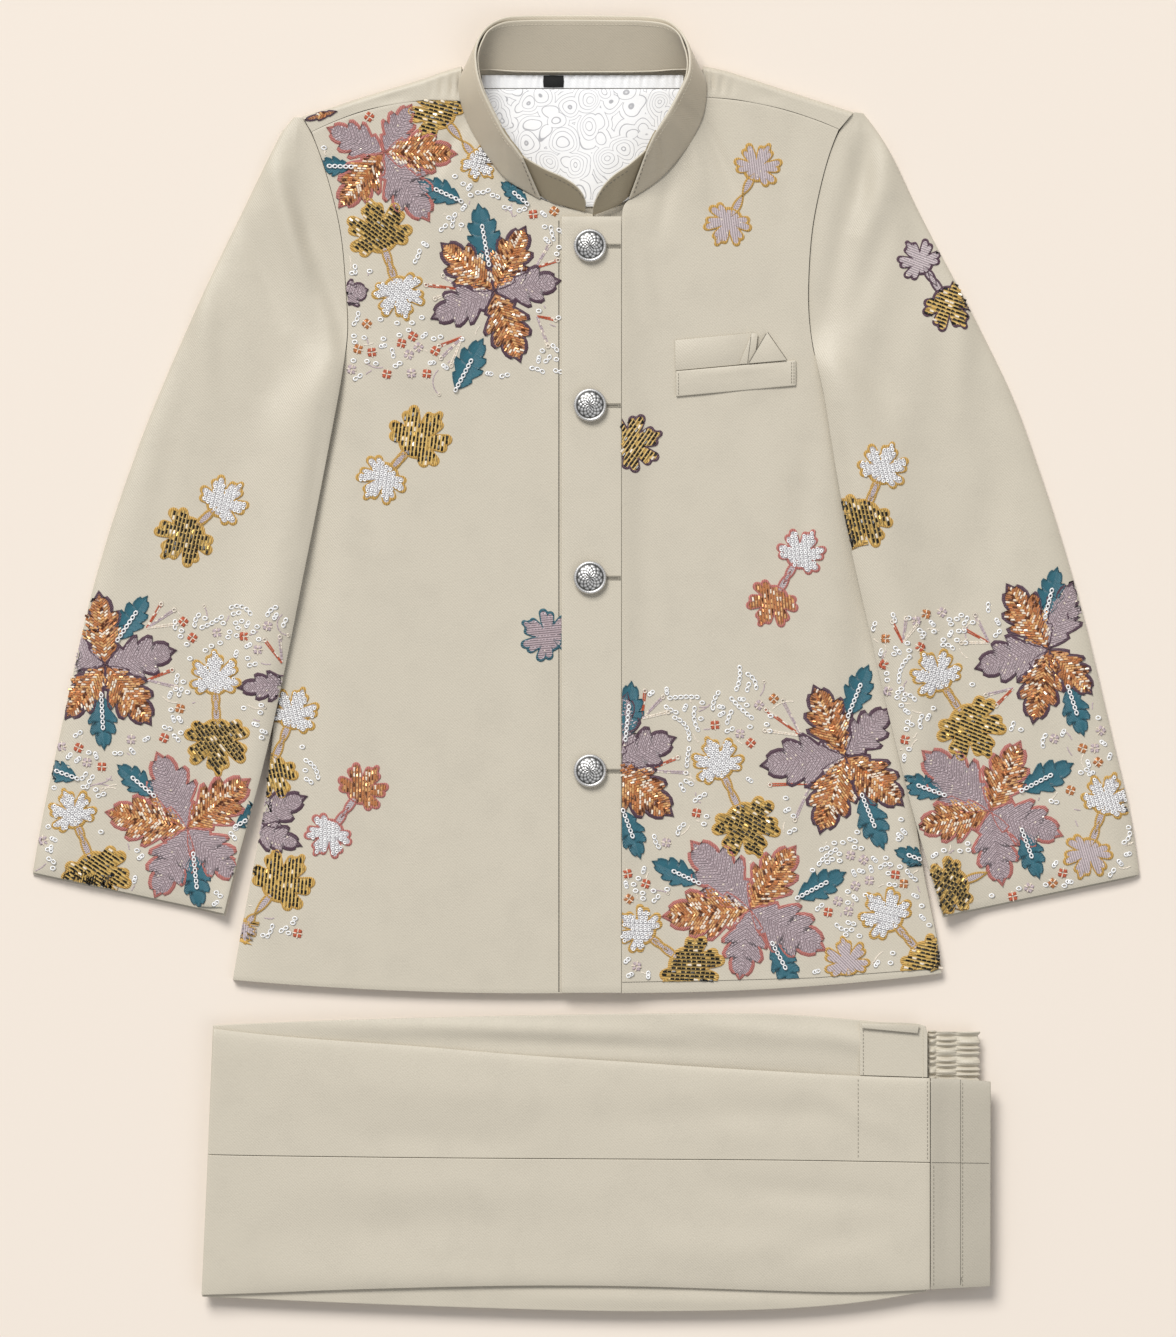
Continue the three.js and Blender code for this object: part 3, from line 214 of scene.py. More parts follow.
def woven(name, colour, roughness=0.52, sheen=0.2, mottle=0.025, grain_depth=0.06 * MM):
    """Satin twill: uneven colour, diagonal grain and a little nap."""
    made, tree, shader = finish(name, colour, roughness)
    shader.inputs["Sheen Weight"].default_value = sheen
    shader.inputs["Sheen Roughness"].default_value = 0.4
    shader.inputs["Specular IOR Level"].default_value = 0.6
    uneven = noise_at(tree, UNEVEN_SCALE, 3)
    fibres = noise_at(tree, FIBRE_SCALE, 2)
    mixed = maths(tree, "MULTIPLY_ADD", fibres, FIBRE_SHARE, uneven)
    dark = scaled(colour, 1 - mottle)
    pale = scaled(colour, 1 + mottle)
    coloured(tree, shader, mixed, (DARK_AT, dark), (PALE_AT, pale))
    place = tree.nodes.new("ShaderNodeTexCoord")
    grain = add_node(tree, "ShaderNodeTexWave", Scale=1 / (GRAIN_PITCH * BANDS_PER_UNIT), Distortion=1.5)
    grain.bands_direction = "DIAGONAL"
    tree.links.new(place.outputs["Object"], grain.inputs["Vector"])
    nap = noise_at(tree, NAP_SCALE, 2)
    bumped(tree, shader, [(grain.outputs["Fac"], grain_depth), (nap, NAP_DEPTH)])
    return made


SUITING = (0.535, 0.486, 0.394)
suiting = woven("suiting", SUITING)
suiting_inner = woven("suiting_inner", scaled(SUITING, 0.93))
# The tabs' darker colour is partly their own cloth and partly painted shade
tab_cloth = woven("tab_cloth", (0.335, 0.28, 0.187))
COLLAR_TONE = (0.55, 0.484, 0.374)
collar_cloth = woven("collar_cloth", COLLAR_TONE)
# The inner band's colour is darkened: painted shade inside the collar
inner_band_cloth = woven("inner_band_cloth", scaled(COLLAR_TONE, 0.78))
waist_cloth = woven("waist_cloth", scaled(SUITING, 0.80))
# Lighter than the suiting it is cut from: painted highlight on the round cords, and also the colour of the
# pale stitches
piping_cloth = woven("piping_cloth", scaled(SUITING, 1.12), mottle=0.02)
stitch_thread = plain_material("stitch_thread", scaled(SUITING, 0.5), 0.7)
# A dark colour for dark seams and hand stitches, and for lines of painted shade under raised edges
seam_shade = plain_material("seam_shade", scaled(SUITING, 0.26), 0.85)
label_tape = woven("label_tape", (0.008, 0.008, 0.008), roughness=0.95, sheen=0.0)
for cad_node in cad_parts.values():
    cad_node.data.materials.clear()
    cad_node.data.materials.append(suiting)

# %% [markdown]
# ## From a packed panel to cloth
# A panel in the frame is a coarse wall. Its upper skin is the form to keep, so a copy of the mesh is merged,
# its triangles joined into four-sided faces, and everything but the upper skin deleted. Subdivision rounds
# the sheet without moving its outline, and then the vertices are moved for the folds. A Solidify modifier
# gives the cloth its thickness downwards again and a Bevel turns its edge softly.


# %% Helpers for cloth
SHARP = math.radians(50)
WELD = 0.01 * MM
STEEPEST = 0.3


def new_object(name, mesh, materials):
    made = bpy.data.objects.new(name, mesh)
    for material in materials:
        made.data.materials.append(material)
    scene.collection.objects.link(made)
    return made


def from_bmesh(name, bm, materials):
    mesh = bpy.data.meshes.new(name)
    bm.to_mesh(mesh)
    bm.free()
    for face in mesh.polygons:
        face.use_smooth = True
    return new_object(name, mesh, materials)


def welded(node):
    """A copy of a node's mesh with its doubled vertices merged."""
    bm = bmesh.new()
    bm.from_mesh(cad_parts[node].data)
    bmesh.ops.remove_doubles(bm, verts=bm.verts, dist=WELD)
    return bm


def merged_copy(node):
    bm = welded(node)
    bmesh.ops.join_triangles(
        bm, faces=bm.faces, angle_face_threshold=SHARP, angle_shape_threshold=math.radians(180)
    )
    return bm


def upper_skin(node):
    bm = merged_copy(node)
    bm.normal_update()
    under = [face for face in bm.faces if face.normal.z < STEEPEST]
    bmesh.ops.delete(bm, geom=under, context="FACES")
    return bm


def subdivided(made, levels):
    """The object's mesh is made finer for good, and its outline keeps its corners."""
    finer = made.modifiers.new("finer", "SUBSURF")
    finer.levels = levels
    finer.render_levels = levels
    finer.boundary_smooth = "PRESERVE_CORNERS"
    shown = made.evaluated_get(bpy.context.evaluated_depsgraph_get())
    mesh = bpy.data.meshes.new_from_object(shown)
    made.modifiers.clear()
    made.data = mesh


def thickened(made, wall, edge, side=-1):
    """The cloth's thickness below its shown side, or half on each side where side is 0, with turned edges."""
    shell = made.modifiers.new("wall", "SOLIDIFY")
    shell.thickness = wall
    shell.offset = side
    turned = made.modifiers.new("turned_edge", "BEVEL")
    turned.width = edge
    turned.segments = 2
    turned.limit_method = "ANGLE"
    turned.angle_limit = SHARP
    return made


def kept(made, nodes=()):
    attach(made, "root")
    if nodes:
        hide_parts(*nodes)
    return made


# %% [markdown]
# ## Folds
# Pressed cloth that lies flat still has soft troughs and ridges where it turns. Each is one row: a straight
# run from one point to another, its height (below zero for a trough) and its half width. It fades towards
# both ends, so a few rows of different lengths look like cloth and not like a pattern.


# %% Fold helper
FOLD_DEPTH = 2.7
FOLD_REACH = 3


def fold_rise(folds, x, y):
    total = 0.0
    for x0, y0, x1, y1, height, width in folds:
        dx = x1 - x0
        dy = y1 - y0
        along = ((x - x0) * dx + (y - y0) * dy) / (dx * dx + dy * dy)
        if not 0 < along < 1:
            continue
        away = abs((x - x0) * dy - (y - y0) * dx) / math.hypot(dx, dy) / width
        if away < FOLD_REACH:
            total += height * math.sin(math.pi * along) * math.exp(-away * away)
    return total * FOLD_DEPTH


def folded(made, folds):
    for vertex in made.data.vertices:
        vertex.co.z += fold_rise(folds, vertex.co.x / MM, vertex.co.y / MM) * MM


def rolled(made, drop, reach):
    """The sheet's edges turn down softly, as the sides of a flat tube do."""
    bm = bmesh.new()
    bm.from_mesh(made.data)
    rim = [vertex for vertex in bm.verts if vertex.is_boundary]
    tree = KDTree(len(rim))
    for number, vertex in enumerate(rim):
        tree.insert((vertex.co.x, vertex.co.y, 0), number)
    tree.balance()
    for vertex in bm.verts:
        away = tree.find((vertex.co.x, vertex.co.y, 0))[2] / MM / reach
        vertex.co.z -= drop * math.exp(-away * away) * MM
    bm.to_mesh(made.data)
    bm.free()


# %% [markdown]
# ## The jacket's body
# Two fronts, the placket sewn to the left one, and the back, which shows at the hem and where it folds
# forward over the shoulders. The fronts pull a little between the buttons, under the collar and beside the
# armholes, and the fold rows follow the places where the photograph shows them.

# %% Fronts and placket
COAT_WALL = 2.4 * MM
PLACKET_WALL = 2.2 * MM
TURNED_EDGE = 0.7 * MM
RIGHT_FRONT_FOLDS = [
    (-138, 310, -172, -130, -1.0, 12), (-126, 320, -118, 240, -0.25, 8), (-24, 60, -30, -80, 0.2, 12),
    (-186, -40, -196, -180, -0.3, 8),
    (-66, 320, -96, 268, -0.5, 4), (-60, 312, -70, 262, 0.4, 4), (-50, 300, -42, 252, -0.35, 5),
    (-133, 190, -70, 150, 0.35, 9), (-136, 150, -118, 60, -0.35, 7), (-150, 40, -128, -80, 0.3, 12),
    (-20, 235, -22, 150, -0.25, 6), (-26, 120, -20, 20, -0.2, 7), (-100, -60, -70, -175, 0.3, 16),
    (-60, 20, -40, -120, -0.22, 18),
]
LEFT_FRONT_FOLDS = [
    (140, 310, 170, -130, -1.2, 11), (120, 320, 112, 240, -0.25, 8), (100, 150, 118, 40, 0.25, 14),
    (188, -40, 196, -180, -0.3, 8),
    (64, 322, 90, 262, -0.55, 4), (58, 312, 70, 258, 0.45, 5), (52, 296, 40, 240, -0.4, 5),
    (96, 322, 112, 280, -0.35, 5), (128, 190, 70, 140, 0.35, 10), (132, 150, 120, 50, -0.35, 8),
    (150, 60, 130, -60, 0.3, 12), (28, 250, 40, 190, 0.3, 5), (30, 110, 34, 10, -0.22, 8),
    (70, 30, 60, -100, -0.25, 18), (110, -60, 90, -175, 0.3, 16),
]
PLACKET_FOLDS = [
    (3, 256, 3, 224, 0.25, 10), (-6, 232, 12, 250, -0.2, 3), (2, 160, 2, 138, -0.15, 8),
    (8, 60, -4, 40, -0.15, 8), (-8, 0, 6, -90, 0.15, 8),
]


def cloth_panel(node, folds, wall, edge=TURNED_EDGE, levels=3, material=suiting, roll=None):
    """A panel's upper skin, folded and given its wall, as the piece that is named after its node."""
    made = from_bmesh(node + "_cloth", upper_skin(node), [material])
    subdivided(made, levels)
    folded(made, folds)
    if roll:
        rolled(made, *roll)
    thickened(made, wall, edge)
    print(made.name, len(made.data.polygons), "faces in its skin")
    return kept(made, [node])


front_right = cloth_panel("front_right", RIGHT_FRONT_FOLDS, COAT_WALL)
front_left = cloth_panel("front_left", LEFT_FRONT_FOLDS, COAT_WALL)
placket = cloth_panel("placket", PLACKET_FOLDS, PLACKET_WALL, 0.5 * MM)

# %% [markdown]
# ## Sleeves
# Each sleeve is a flat tube: an upper and an under layer, folded at the outer edge and sewn at the inner one.
# The upper layers carry the deepest folds of the jacket, running down from the armholes.

# %% Sleeves
SLEEVE_WALL = 2.0 * MM
# How far a sleeve's edge turns down and how far in that begins, in millimetres
SLEEVE_ROLL = (1.2, 8)
RIGHT_SLEEVE_FOLDS = [
    (-188, 330, -150, 120, 0.75, 13), (-170, 330, -134, 150, -0.8, 8), (-214, 290, -222, 150, 0.35, 9),
    (-280, 90, -262, -60, -0.3, 9), (-226, 200, -250, 60, -0.35, 9),
    (-172, 285, -146, 196, -1.1, 6), (-186, 262, -160, 176, -0.6, 8), (-160, 250, -143, 170, 0.6, 5),
    (-205, 230, -188, 120, 0.5, 12), (-150, 150, -160, 60, -0.5, 6), (-238, 130, -210, 30, -0.4, 12),
    (-184, 300, -157, 212, 0.9, 7), (-200, 262, -172, 190, -0.6, 6), (-224, 250, -214, 120, 0.5, 8),
    (-190, 60, -205, -60, 0.4, 12), (-165, 40, -178, -50, -0.35, 6), (-262, 40, -250, -80, 0.3, 12),
]
LEFT_SLEEVE_FOLDS = [
    (186, 332, 144, 120, 0.7, 13), (166, 332, 128, 150, -0.8, 8), (216, 280, 214, 150, 0.35, 9),
    (282, 90, 262, -60, -0.3, 9), (220, 200, 246, 60, -0.35, 9),
    (162, 306, 155, 246, -0.72, 7), (155, 285, 160, 226, 0.3, 7), (178, 270, 152, 190, -0.7, 8),
    (196, 226, 182, 110, 0.5, 12), (142, 150, 152, 60, -0.5, 6), (240, 120, 214, 20, -0.45, 12),
    (180, 314, 160, 236, 0.5, 8), (178, 304, 198, 196, -0.6, 9), (222, 250, 212, 120, 0.5, 8),
    (186, 60, 200, -60, 0.4, 12), (160, 40, 176, -50, -0.35, 6), (262, 40, 250, -80, 0.3, 12),
]
sleeve_right = cloth_panel("sleeve_right_top", RIGHT_SLEEVE_FOLDS, SLEEVE_WALL, roll=SLEEVE_ROLL)
sleeve_left = cloth_panel("sleeve_left_top", LEFT_SLEEVE_FOLDS, SLEEVE_WALL, roll=SLEEVE_ROLL)
for node in ("sleeve_right_under", "sleeve_left_under"):
    cloth_panel(node, [], SLEEVE_WALL, levels=1, material=suiting_inner)

# %% [markdown]
# ## The back and its shoulders
# The back panel lies on the floor, so its flat underside is taken as one face, given its wall and softened at
# the edge. At each shoulder the back turns up and over to a seam on the chest: a grid is bent round that turn
# and pleated a little near the neck, where the collar draws it in.


# %% Smooth curves
def smooth_path(points, t):
    """A point at t from 0 to 1 on a smooth curve through the points, which may have any number of values."""
    last = len(points) - 1
    place = min(max(t, 0.0), 1.0) * last
    i = min(int(place), last - 1)
    s = place - i
    a, b, c, d = (points[min(max(k, 0), last)] for k in (i - 1, i, i + 1, i + 2))
    return [
        0.5 * (2 * q + (r - p) * s + (2 * p - 5 * q + 4 * r - w) * s * s + (3 * q - 3 * r + w - p) * s ** 3)
        for p, q, r, w in zip(a, b, c, d)
    ]


def grid_share(vertex):
    """A new grid vertex's place across and along its grid, each from 0 to 1."""
    return [min(max(value + 0.5, 0.0), 1.0) for value in vertex.co.xy]


def mapped_grid(bm, columns, rows, place):
    """A grid whose vertices are moved to place(u, v), in millimetres."""
    made = bmesh.ops.create_grid(bm, x_segments=columns, y_segments=rows, size=0.5)["verts"]
    for vertex in made:
        vertex.co = Vector(place(*grid_share(vertex))) * MM
    return made


def grid_cloth(name, node, size, place, material, wall, edge, side=-1):
    """A sheet bent to place(u, v), with its wall, where a node of the frame was."""
    bm = bmesh.new()
    mapped_grid(bm, *size, place)
    made = thickened(from_bmesh(name, bm, [material]), wall, edge, side)
    return kept(made, [node])


def dented(at, dents):
    """The depth of soft dents at a place on a line: rows of (middle, depth, half width)."""
    return sum(depth * math.exp(-(((at - middle) / width) ** 2)) for middle, depth, width in dents)


# %% Back panel
FACES_DOWN = -0.9
ON_FLOOR = 0.1 * MM


def is_underside(face):
    return face.normal.z <= FACES_DOWN and face.calc_center_median().z <= ON_FLOOR


def back_panel():
    bm = welded("back")
    bm.normal_update()
    raised = [face for face in bm.faces if not is_underside(face)]
    bmesh.ops.delete(bm, geom=raised, context="FACES")
    bmesh.ops.dissolve_limit(bm, angle_limit=math.radians(1), verts=bm.verts, edges=bm.edges)
    bmesh.ops.triangulate(bm, faces=bm.faces)
    made = from_bmesh("back_cloth", bm, [suiting_inner])
    thickened(made, COAT_WALL, TURNED_EDGE)
    kept(made, ["back"])


back_panel()

# The outline of each shoulder and the seam on the chest, from the armhole to the neck
RIGHT_SHOULDER = [
    (-163.2, 314.9, -157.8, 305.7), (-148.3, 319.5, -142.4, 312.7), (-127.6, 326.4, -122.8, 319.2),
    (-97.2, 335.6, -95.5, 323.6), (-84.0, 340.2, -83.6, 323.8), (-71.6, 344.0, -72.5, 323.2),
]
LEFT_SHOULDER = [
    (154.0, 317.3, 145.5, 307.2), (139.0, 322.2, 133.2, 312.3), (118.0, 329.0, 113.9, 318.6),
    (92.0, 337.6, 90.8, 323.5), (79.0, 341.6, 78.5, 325.0), (67.4, 344.0, 68.5, 325.5),
]
FOLD_TOP = 6.4
TURN_RADIUS = FOLD_TOP / 2
TURN_SHARE = 0.35
SHOULDER_SEAM_GAP = 0.4
PLEAT_START = 0.1
PLEATS = [(0.965, 0.95, 0.018), (0.9, 1.1, 0.02), (0.81, 0.8, 0.025), (0.7, 0.4, 0.03), (0.5, 0.4, 0.06)]


def shoulder(name, table, wall):
    """A strip bent round the turn and on to the seam, pleated where the collar draws it in."""
    def place(u, v):
        ex, ey, sx, sy = smooth_path(table, v)
        edge = Vector((ex, ey, 0))
        inward = Vector((sx, sy, 0)) - edge
        reach = inward.length - SHOULDER_SEAM_GAP
        inward.normalize()
        if u < TURN_SHARE:
            angle = math.pi * u / TURN_SHARE
            depth = TURN_RADIUS * (1 - math.sin(angle))
            point = edge + inward * depth
            point.z = TURN_RADIUS * (1 - math.cos(angle))
            return point
        over = (u - TURN_SHARE) / (1 - TURN_SHARE)
        point = edge + inward * (TURN_RADIUS + (reach - TURN_RADIUS) * over)
        point.z = FOLD_TOP - dented(v, PLEATS) * math.sin(math.pi * min(1.0, over + PLEAT_START))
        return point

    return grid_cloth(name, "back", (28, 60), place, suiting, wall, 0.6 * MM)


# The left strip's grid faces the other way, so its wall is taken with the other sign
shoulder_right = shoulder("shoulder_fold_right", RIGHT_SHOULDER, COAT_WALL)
shoulder("shoulder_fold_left", LEFT_SHOULDER, -COAT_WALL)

# %% [markdown]
# ## The stand collar
# The collar is two bands sewn together at the top: the outer one stands round the neck and the inner one
# shows inside the back, its colour darkened as painted shade. Both follow the same table of a foot and a top
# edge. The front tabs are darker, partly their own cloth and partly painted shade, and round off at the
# centre. Piping cords run along the edges, and stitches close the ends.

# %% Collar shape
COLLAR = [
    (-26.6, 267.8, 7.0, -36.6, 289.8, 24), (-36.8, 273.5, 7.0, -41.5, 296.5, 26),
    (-45.4, 279.0, 7.0, -46.5, 303.0, 27), (-54.0, 289.0, 7.0, -51.0, 311.0, 28),
    (-62.1, 301.0, 7.0, -55.8, 320.5, 29), (-68.2, 313.0, 7.0, -60.0, 330.0, 29),
    (-72.0, 325.0, 7.0, -62.8, 341.0, 28), (-72.5, 335.0, 7.2, -63.0, 353.0, 25),
    (-68.5, 341.8, 5.6, -57.8, 364.0, 20), (-58.0, 342.0, 4.2, -47.7, 370.4, 14),
    (-42.0, 340.5, 3.6, -34.5, 372.0, 10), (-20.0, 340.0, 3.6, -17.0, 372.3, 8.5),
    (-2.0, 340.0, 3.6, -1.0, 372.3, 8.5), (17.0, 340.0, 3.6, 17.0, 372.1, 8.5),
    (38.0, 340.5, 3.6, 34.5, 371.6, 10), (53.5, 342.0, 4.2, 46.8, 369.0, 14),
    (64.0, 341.8, 5.6, 55.0, 361.5, 20), (68.2, 335.0, 7.2, 59.2, 350.5, 25),
    (68.6, 325.0, 7.0, 58.9, 338.5, 28), (66.2, 314.0, 7.0, 54.0, 327.6, 29),
    (60.1, 301.0, 7.0, 48.0, 316.5, 29), (51.2, 289.0, 7.0, 43.0, 308.5, 28),
    (43.0, 280.2, 7.0, 39.5, 303.0, 27), (34.5, 273.6, 7.0, 37.5, 298.8, 26),
    (25.2, 267.8, 7.0, 35.3, 294.0, 24),
]
NECK_MIDDLE = Vector((0, 310, 8))
OUTER_WALL = 1.5 * MM
INNER_WALL = 1.2 * MM
BAND_EDGE = 0.4 * MM
LAYER_STEP = 2.25
LAST_ROW = len(COLLAR) - 1
TANGENT_STEP = 0.01


def collar_point(along, up, inward):
    """A point on the band: along in table rows, up from 0 at the foot to 1 at the top edge."""
    t = along / LAST_ROW
    row = smooth_path(COLLAR, t)
    foot = Vector(row[:3])
    edge = Vector(row[3:])
    after = Vector(smooth_path(COLLAR, t + TANGENT_STEP)[:3])
    before = Vector(smooth_path(COLLAR, t - TANGENT_STEP)[:3])
    normal = (after - before).cross(edge - foot).normalized()
    if normal.dot(NECK_MIDDLE - foot) < 0:
        normal.negate()
    return foot.lerp(edge, up) + normal * inward


def band(node, ends, heights, inward, wall, puckers, material):
    """A band between two rows of the table and between two shares of the collar's height."""
    start, end = ends
    low, high = heights

    def place(u, v):
        along = start + (end - start) * v
        up = low + (high - low) * u
        return collar_point(along, up, inward + dented(along, puckers) * math.sin(math.pi * up) ** 0.5)

    grid_cloth(node + "_cloth", node, (14, 200), place, material, wall, BAND_EDGE, 0)


# Dents along each band: the middle in table rows, the depth in millimetres and the half width in rows
OUTER_PUCKERS = [
    (2.2, 0.45, 0.3), (5.2, -0.35, 0.5), (19.3, 0.8, 0.22), (20.2, -0.6, 0.28), (21.6, 0.7, 0.22),
    (22.4, -0.3, 0.3),
]
INNER_PUCKERS = [(9.2, 0.2, 0.5), (14.0, -0.2, 0.9), (18.2, 0.25, 0.6)]
TAB_START = 2.5
TAB_GAP = 0.1
INNER_ENDS = (TAB_START + TAB_GAP, LAST_ROW - TAB_START - TAB_GAP)
INNER_TOP = 0.93
band("collar_outer", (0, LAST_ROW), (0, 1), 0, OUTER_WALL, OUTER_PUCKERS, collar_cloth)
band("collar_inner", INNER_ENDS, (0.02, INNER_TOP), LAYER_STEP, INNER_WALL, INNER_PUCKERS, inner_band_cloth)

# %% Collar tabs
RIGHT_TAB = [
    (-19.0, 265.4, 7.0, -24.0, 283.8, 21), (-12.0, 263.4, 7.0, -14.0, 279.4, 19),
    (-6.0, 261.8, 7.0, -6.5, 274.8, 17), (-2.2, 260.8, 7.0, -2.0, 269.6, 14),
    (-0.4, 260.2, 7.0, -0.2, 264.6, 10.5),
]
LEFT_TAB = [
    (19.6, 265.0, 7.0, 24.5, 286.0, 21), (14.5, 262.2, 7.0, 16.5, 280.6, 19),
    (9.5, 260.2, 7.0, 10.4, 274.6, 17), (6.0, 259.0, 7.0, 6.3, 268.0, 14),
    (3.8, 258.2, 7.0, 4.2, 262.6, 10.5),
]
TAB_TOP = 0.96
TAB_END = 0.05
ROWS_BELOW_BAND = 6


def tab_rows(start, end, table):
    """The tab's rows: first inside the outer band, then on from its end."""
    rows = []
    for step in range(ROWS_BELOW_BAND):
        along = start + (end - start) * step / (ROWS_BELOW_BAND - 1)
        rows.append((*collar_point(along, 0, LAYER_STEP), *collar_point(along, TAB_TOP, LAYER_STEP)))
    return rows + table


def tab(node, rows):
    def place(u, v):
        row = smooth_path(rows, v)
        return Vector(row[:3]).lerp(Vector(row[3:]), u)

    grid_cloth(node + "_cloth", node, (10, 60), place, tab_cloth, INNER_WALL, BAND_EDGE, 0)


TAB_ROWS = {
    "right": tab_rows(TAB_START, TAB_END, RIGHT_TAB),
    "left": tab_rows(LAST_ROW - TAB_START, LAST_ROW - TAB_END, LEFT_TAB),
}
for hand, rows in TAB_ROWS.items():
    tab("collar_tab_" + hand, rows)

# %% [markdown]
# ## Trousers
# One leg lies on the other. The hidden layers below are one rounded solid with grooves at its edge, and what
# shows on top is the under leg, the upper leg in two panels with the side seam between them, the waistband,
# and beyond it the back waist, gathered on elastic.

# %% Trouser panels
TROUSER_WALL = 1.5 * MM
WAISTBAND_WALL = 1.8 * MM
THIN_EDGE = 0.45 * MM
UNDER_LEG_FOLDS = [
    (-60, -230, 170, -238, -0.5, 5), (120, -204, 190, -232, 0.3, 6),
    (-190, -207, 60, -214, 0.7, 6), (-120, -212, 120, -226, -0.5, 5), (40, -206, 186, -220, 0.5, 6),
    (-60, -364, 170, -368, 0.3, 5),
]
UPPER_BACK_FOLDS = [
    (-190, -240, 20, -252, 0.3, 12), (0, -262, 180, -256, -0.35, 9), (120, -240, 190, -276, 0.3, 7),
    (-150, -270, -20, -276, -0.3, 9), (40, -244, 110, -280, 0.25, 10),
]
UPPER_FRONT_FOLDS = [
    (-200, -330, -20, -318, -0.35, 14), (0, -332, 180, -344, 0.4, 12), (60, -300, 190, -308, -0.35, 8),
    (-190, -300, 40, -306, 0.25, 12), (80, -350, 190, -318, -0.25, 9), (-200, -352, 60, -356, 0.25, 9),
]
WAISTBAND_FOLDS = [(206, -236, 208, -362, -0.35, 5)]
cloth_panel("trouser_leg_under", UNDER_LEG_FOLDS, TROUSER_WALL, THIN_EDGE)
leg_back = cloth_panel("trouser_upper_back", UPPER_BACK_FOLDS, TROUSER_WALL, THIN_EDGE)
leg_front = cloth_panel("trouser_upper_front", UPPER_FRONT_FOLDS, TROUSER_WALL, THIN_EDGE)
waistband = cloth_panel(
    "trouser_waistband", WAISTBAND_FOLDS, WAISTBAND_WALL, THIN_EDGE, material=waist_cloth
)
hip_panel = cloth_panel("trouser_hip_panel", [], TROUSER_WALL, THIN_EDGE)

# %% Hidden layers and ruched elastic
CREASE_ANGLE = math.radians(55)


def rounded_copy(name, node, levels, material, crease):
    """A closed piece of the frame, subdivided, with its sharp edges held."""
    bm = merged_copy(node)
    held = bm.edges.layers.float.get("crease_edge") or bm.edges.layers.float.new("crease_edge")
    for edge in bm.edges:
        if len(edge.link_faces) == 2 and edge.calc_face_angle() > CREASE_ANGLE:
            edge[held] = crease
    made = from_bmesh(name, bm, [material])
    subdivided(made, levels)
    return kept(made, [node])


rounded_copy("trouser_layers_cloth", "trouser_layers", 2, suiting_inner, 0.9)
GATHER_PITCH = 4.0
PUFF_HEIGHT = 3.2
PUFF_BASE = 0.2
CHANNELS = [0.0, 0.16, 0.55, 1.0]
ROW_STAGGER = 0.37
PITCH_CHANGE = 0.22
STITCHED_SHARE = 0.16
GATHER_RISE = 0.16
END_WAVES = 1.9
ELASTIC_WALL = 1.0 * MM


def ruched_elastic():
    """Three rows of puffs, pinched between stitched channels, each row out of step with the next."""
    low, high = (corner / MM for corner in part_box("elastic_waistband"))

    def place(u, v):
        column = min(sum(u >= edge for edge in CHANNELS) - 1, len(CHANNELS) - 2)
        start, end = CHANNELS[column], CHANNELS[column + 1]
        pinch = math.sin(math.pi * (u - start) / (end - start))
        y = low.y + (high.y - low.y) * v
        turn = y / GATHER_PITCH + ROW_STAGGER * column + PITCH_CHANGE * math.sin(0.5 * y + 2.1 * column)
        puff = abs(math.sin(math.pi * turn)) ** 1.1
        full = STITCHED_SHARE + (1 - STITCHED_SHARE) * max(pinch, 0.0) ** 0.7
        gathers = GATHER_RISE * math.sin(4.3 * y + column) * (1 - pinch)
        height = PUFF_HEIGHT * (PUFF_BASE + (1 - PUFF_BASE) * puff * full) + gathers
        x = low.x + (high.x - low.x - END_WAVES * (1 - puff) * u ** 8) * u
        return x, y, low.z + PUFF_BASE + height

    grid_cloth(
        "elastic_waistband_cloth", "elastic_waistband", (54, 170), place, suiting, ELASTIC_WALL, 0.3 * MM
    )


ruched_elastic()

# The hip panel's top edge is folded over once, as a narrow strip
HIP_FOLD = [(158.2, -206.6), (191.4, -207.6), (190.6, -212.4), (158.4, -209.4)]
HIP_FOLD_TOP = 13.6
HIP_FOLD_WALL = 0.9 * MM
fold_mesh = bmesh.new()
fold_mesh.faces.new([fold_mesh.verts.new(Vector((x, y, HIP_FOLD_TOP)) * MM) for x, y in reversed(HIP_FOLD)])
hip_fold = thickened(from_bmesh("hip_fold_strip", fold_mesh, [suiting]), HIP_FOLD_WALL, 0.3 * MM)
kept(hip_fold)

# %% [markdown]
# ## Neck lining, strip and label
# Inside the neck the back is lined with white cloth printed with thin grey rings and swirls, here a generic
# print worked out from cell distances. Above it a plain strip is gathered under the collar, and a blank woven
# label hangs from the seam.

# %% Lining print
PRINT_GROUND = (0.87, 0.87, 0.875)
PRINT_LINE = (0.42, 0.42, 0.44)
BEND_SCALE = 45.0
BEND_SHARE = 0.012
CELL_SCALE = 78.0
RINGS_PER_UNIT = 46.0
LINING_NAP_SCALE = 700
LINING_NAP = 0.04 * MM


def lining_print():
    """Rings round the middles of bent cells: the sine of a cell's distance, cut to thin lines."""
    made, tree, shader = finish("lining_print", PRINT_GROUND, 0.5)
    place = tree.nodes.new("ShaderNodeTexCoord")
    bent = add_node(tree, "ShaderNodeTexNoise", Scale=BEND_SCALE, Detail=1.0)
    shifted = add_node(tree, "ShaderNodeMixRGB", Fac=BEND_SHARE)
    cells = add_node(tree, "ShaderNodeTexVoronoi", Scale=CELL_SCALE, Randomness=0.85)
    tree.links.new(place.outputs["Object"], bent.inputs["Vector"])
    tree.links.new(place.outputs["Object"], shifted.inputs["Color1"])
    tree.links.new(bent.outputs["Color"], shifted.inputs["Color2"])
    tree.links.new(shifted.outputs["Color"], cells.inputs["Vector"])
    turns = maths(tree, "MULTIPLY", cells.outputs["Distance"], RINGS_PER_UNIT)
    rings = maths(tree, "SINE", turns)
    coloured(tree, shader, rings, (0.8, PRINT_GROUND), (0.97, PRINT_LINE))
    bumped(tree, shader, [(noise_at(tree, LINING_NAP_SCALE, 2), LINING_NAP)])
    return made


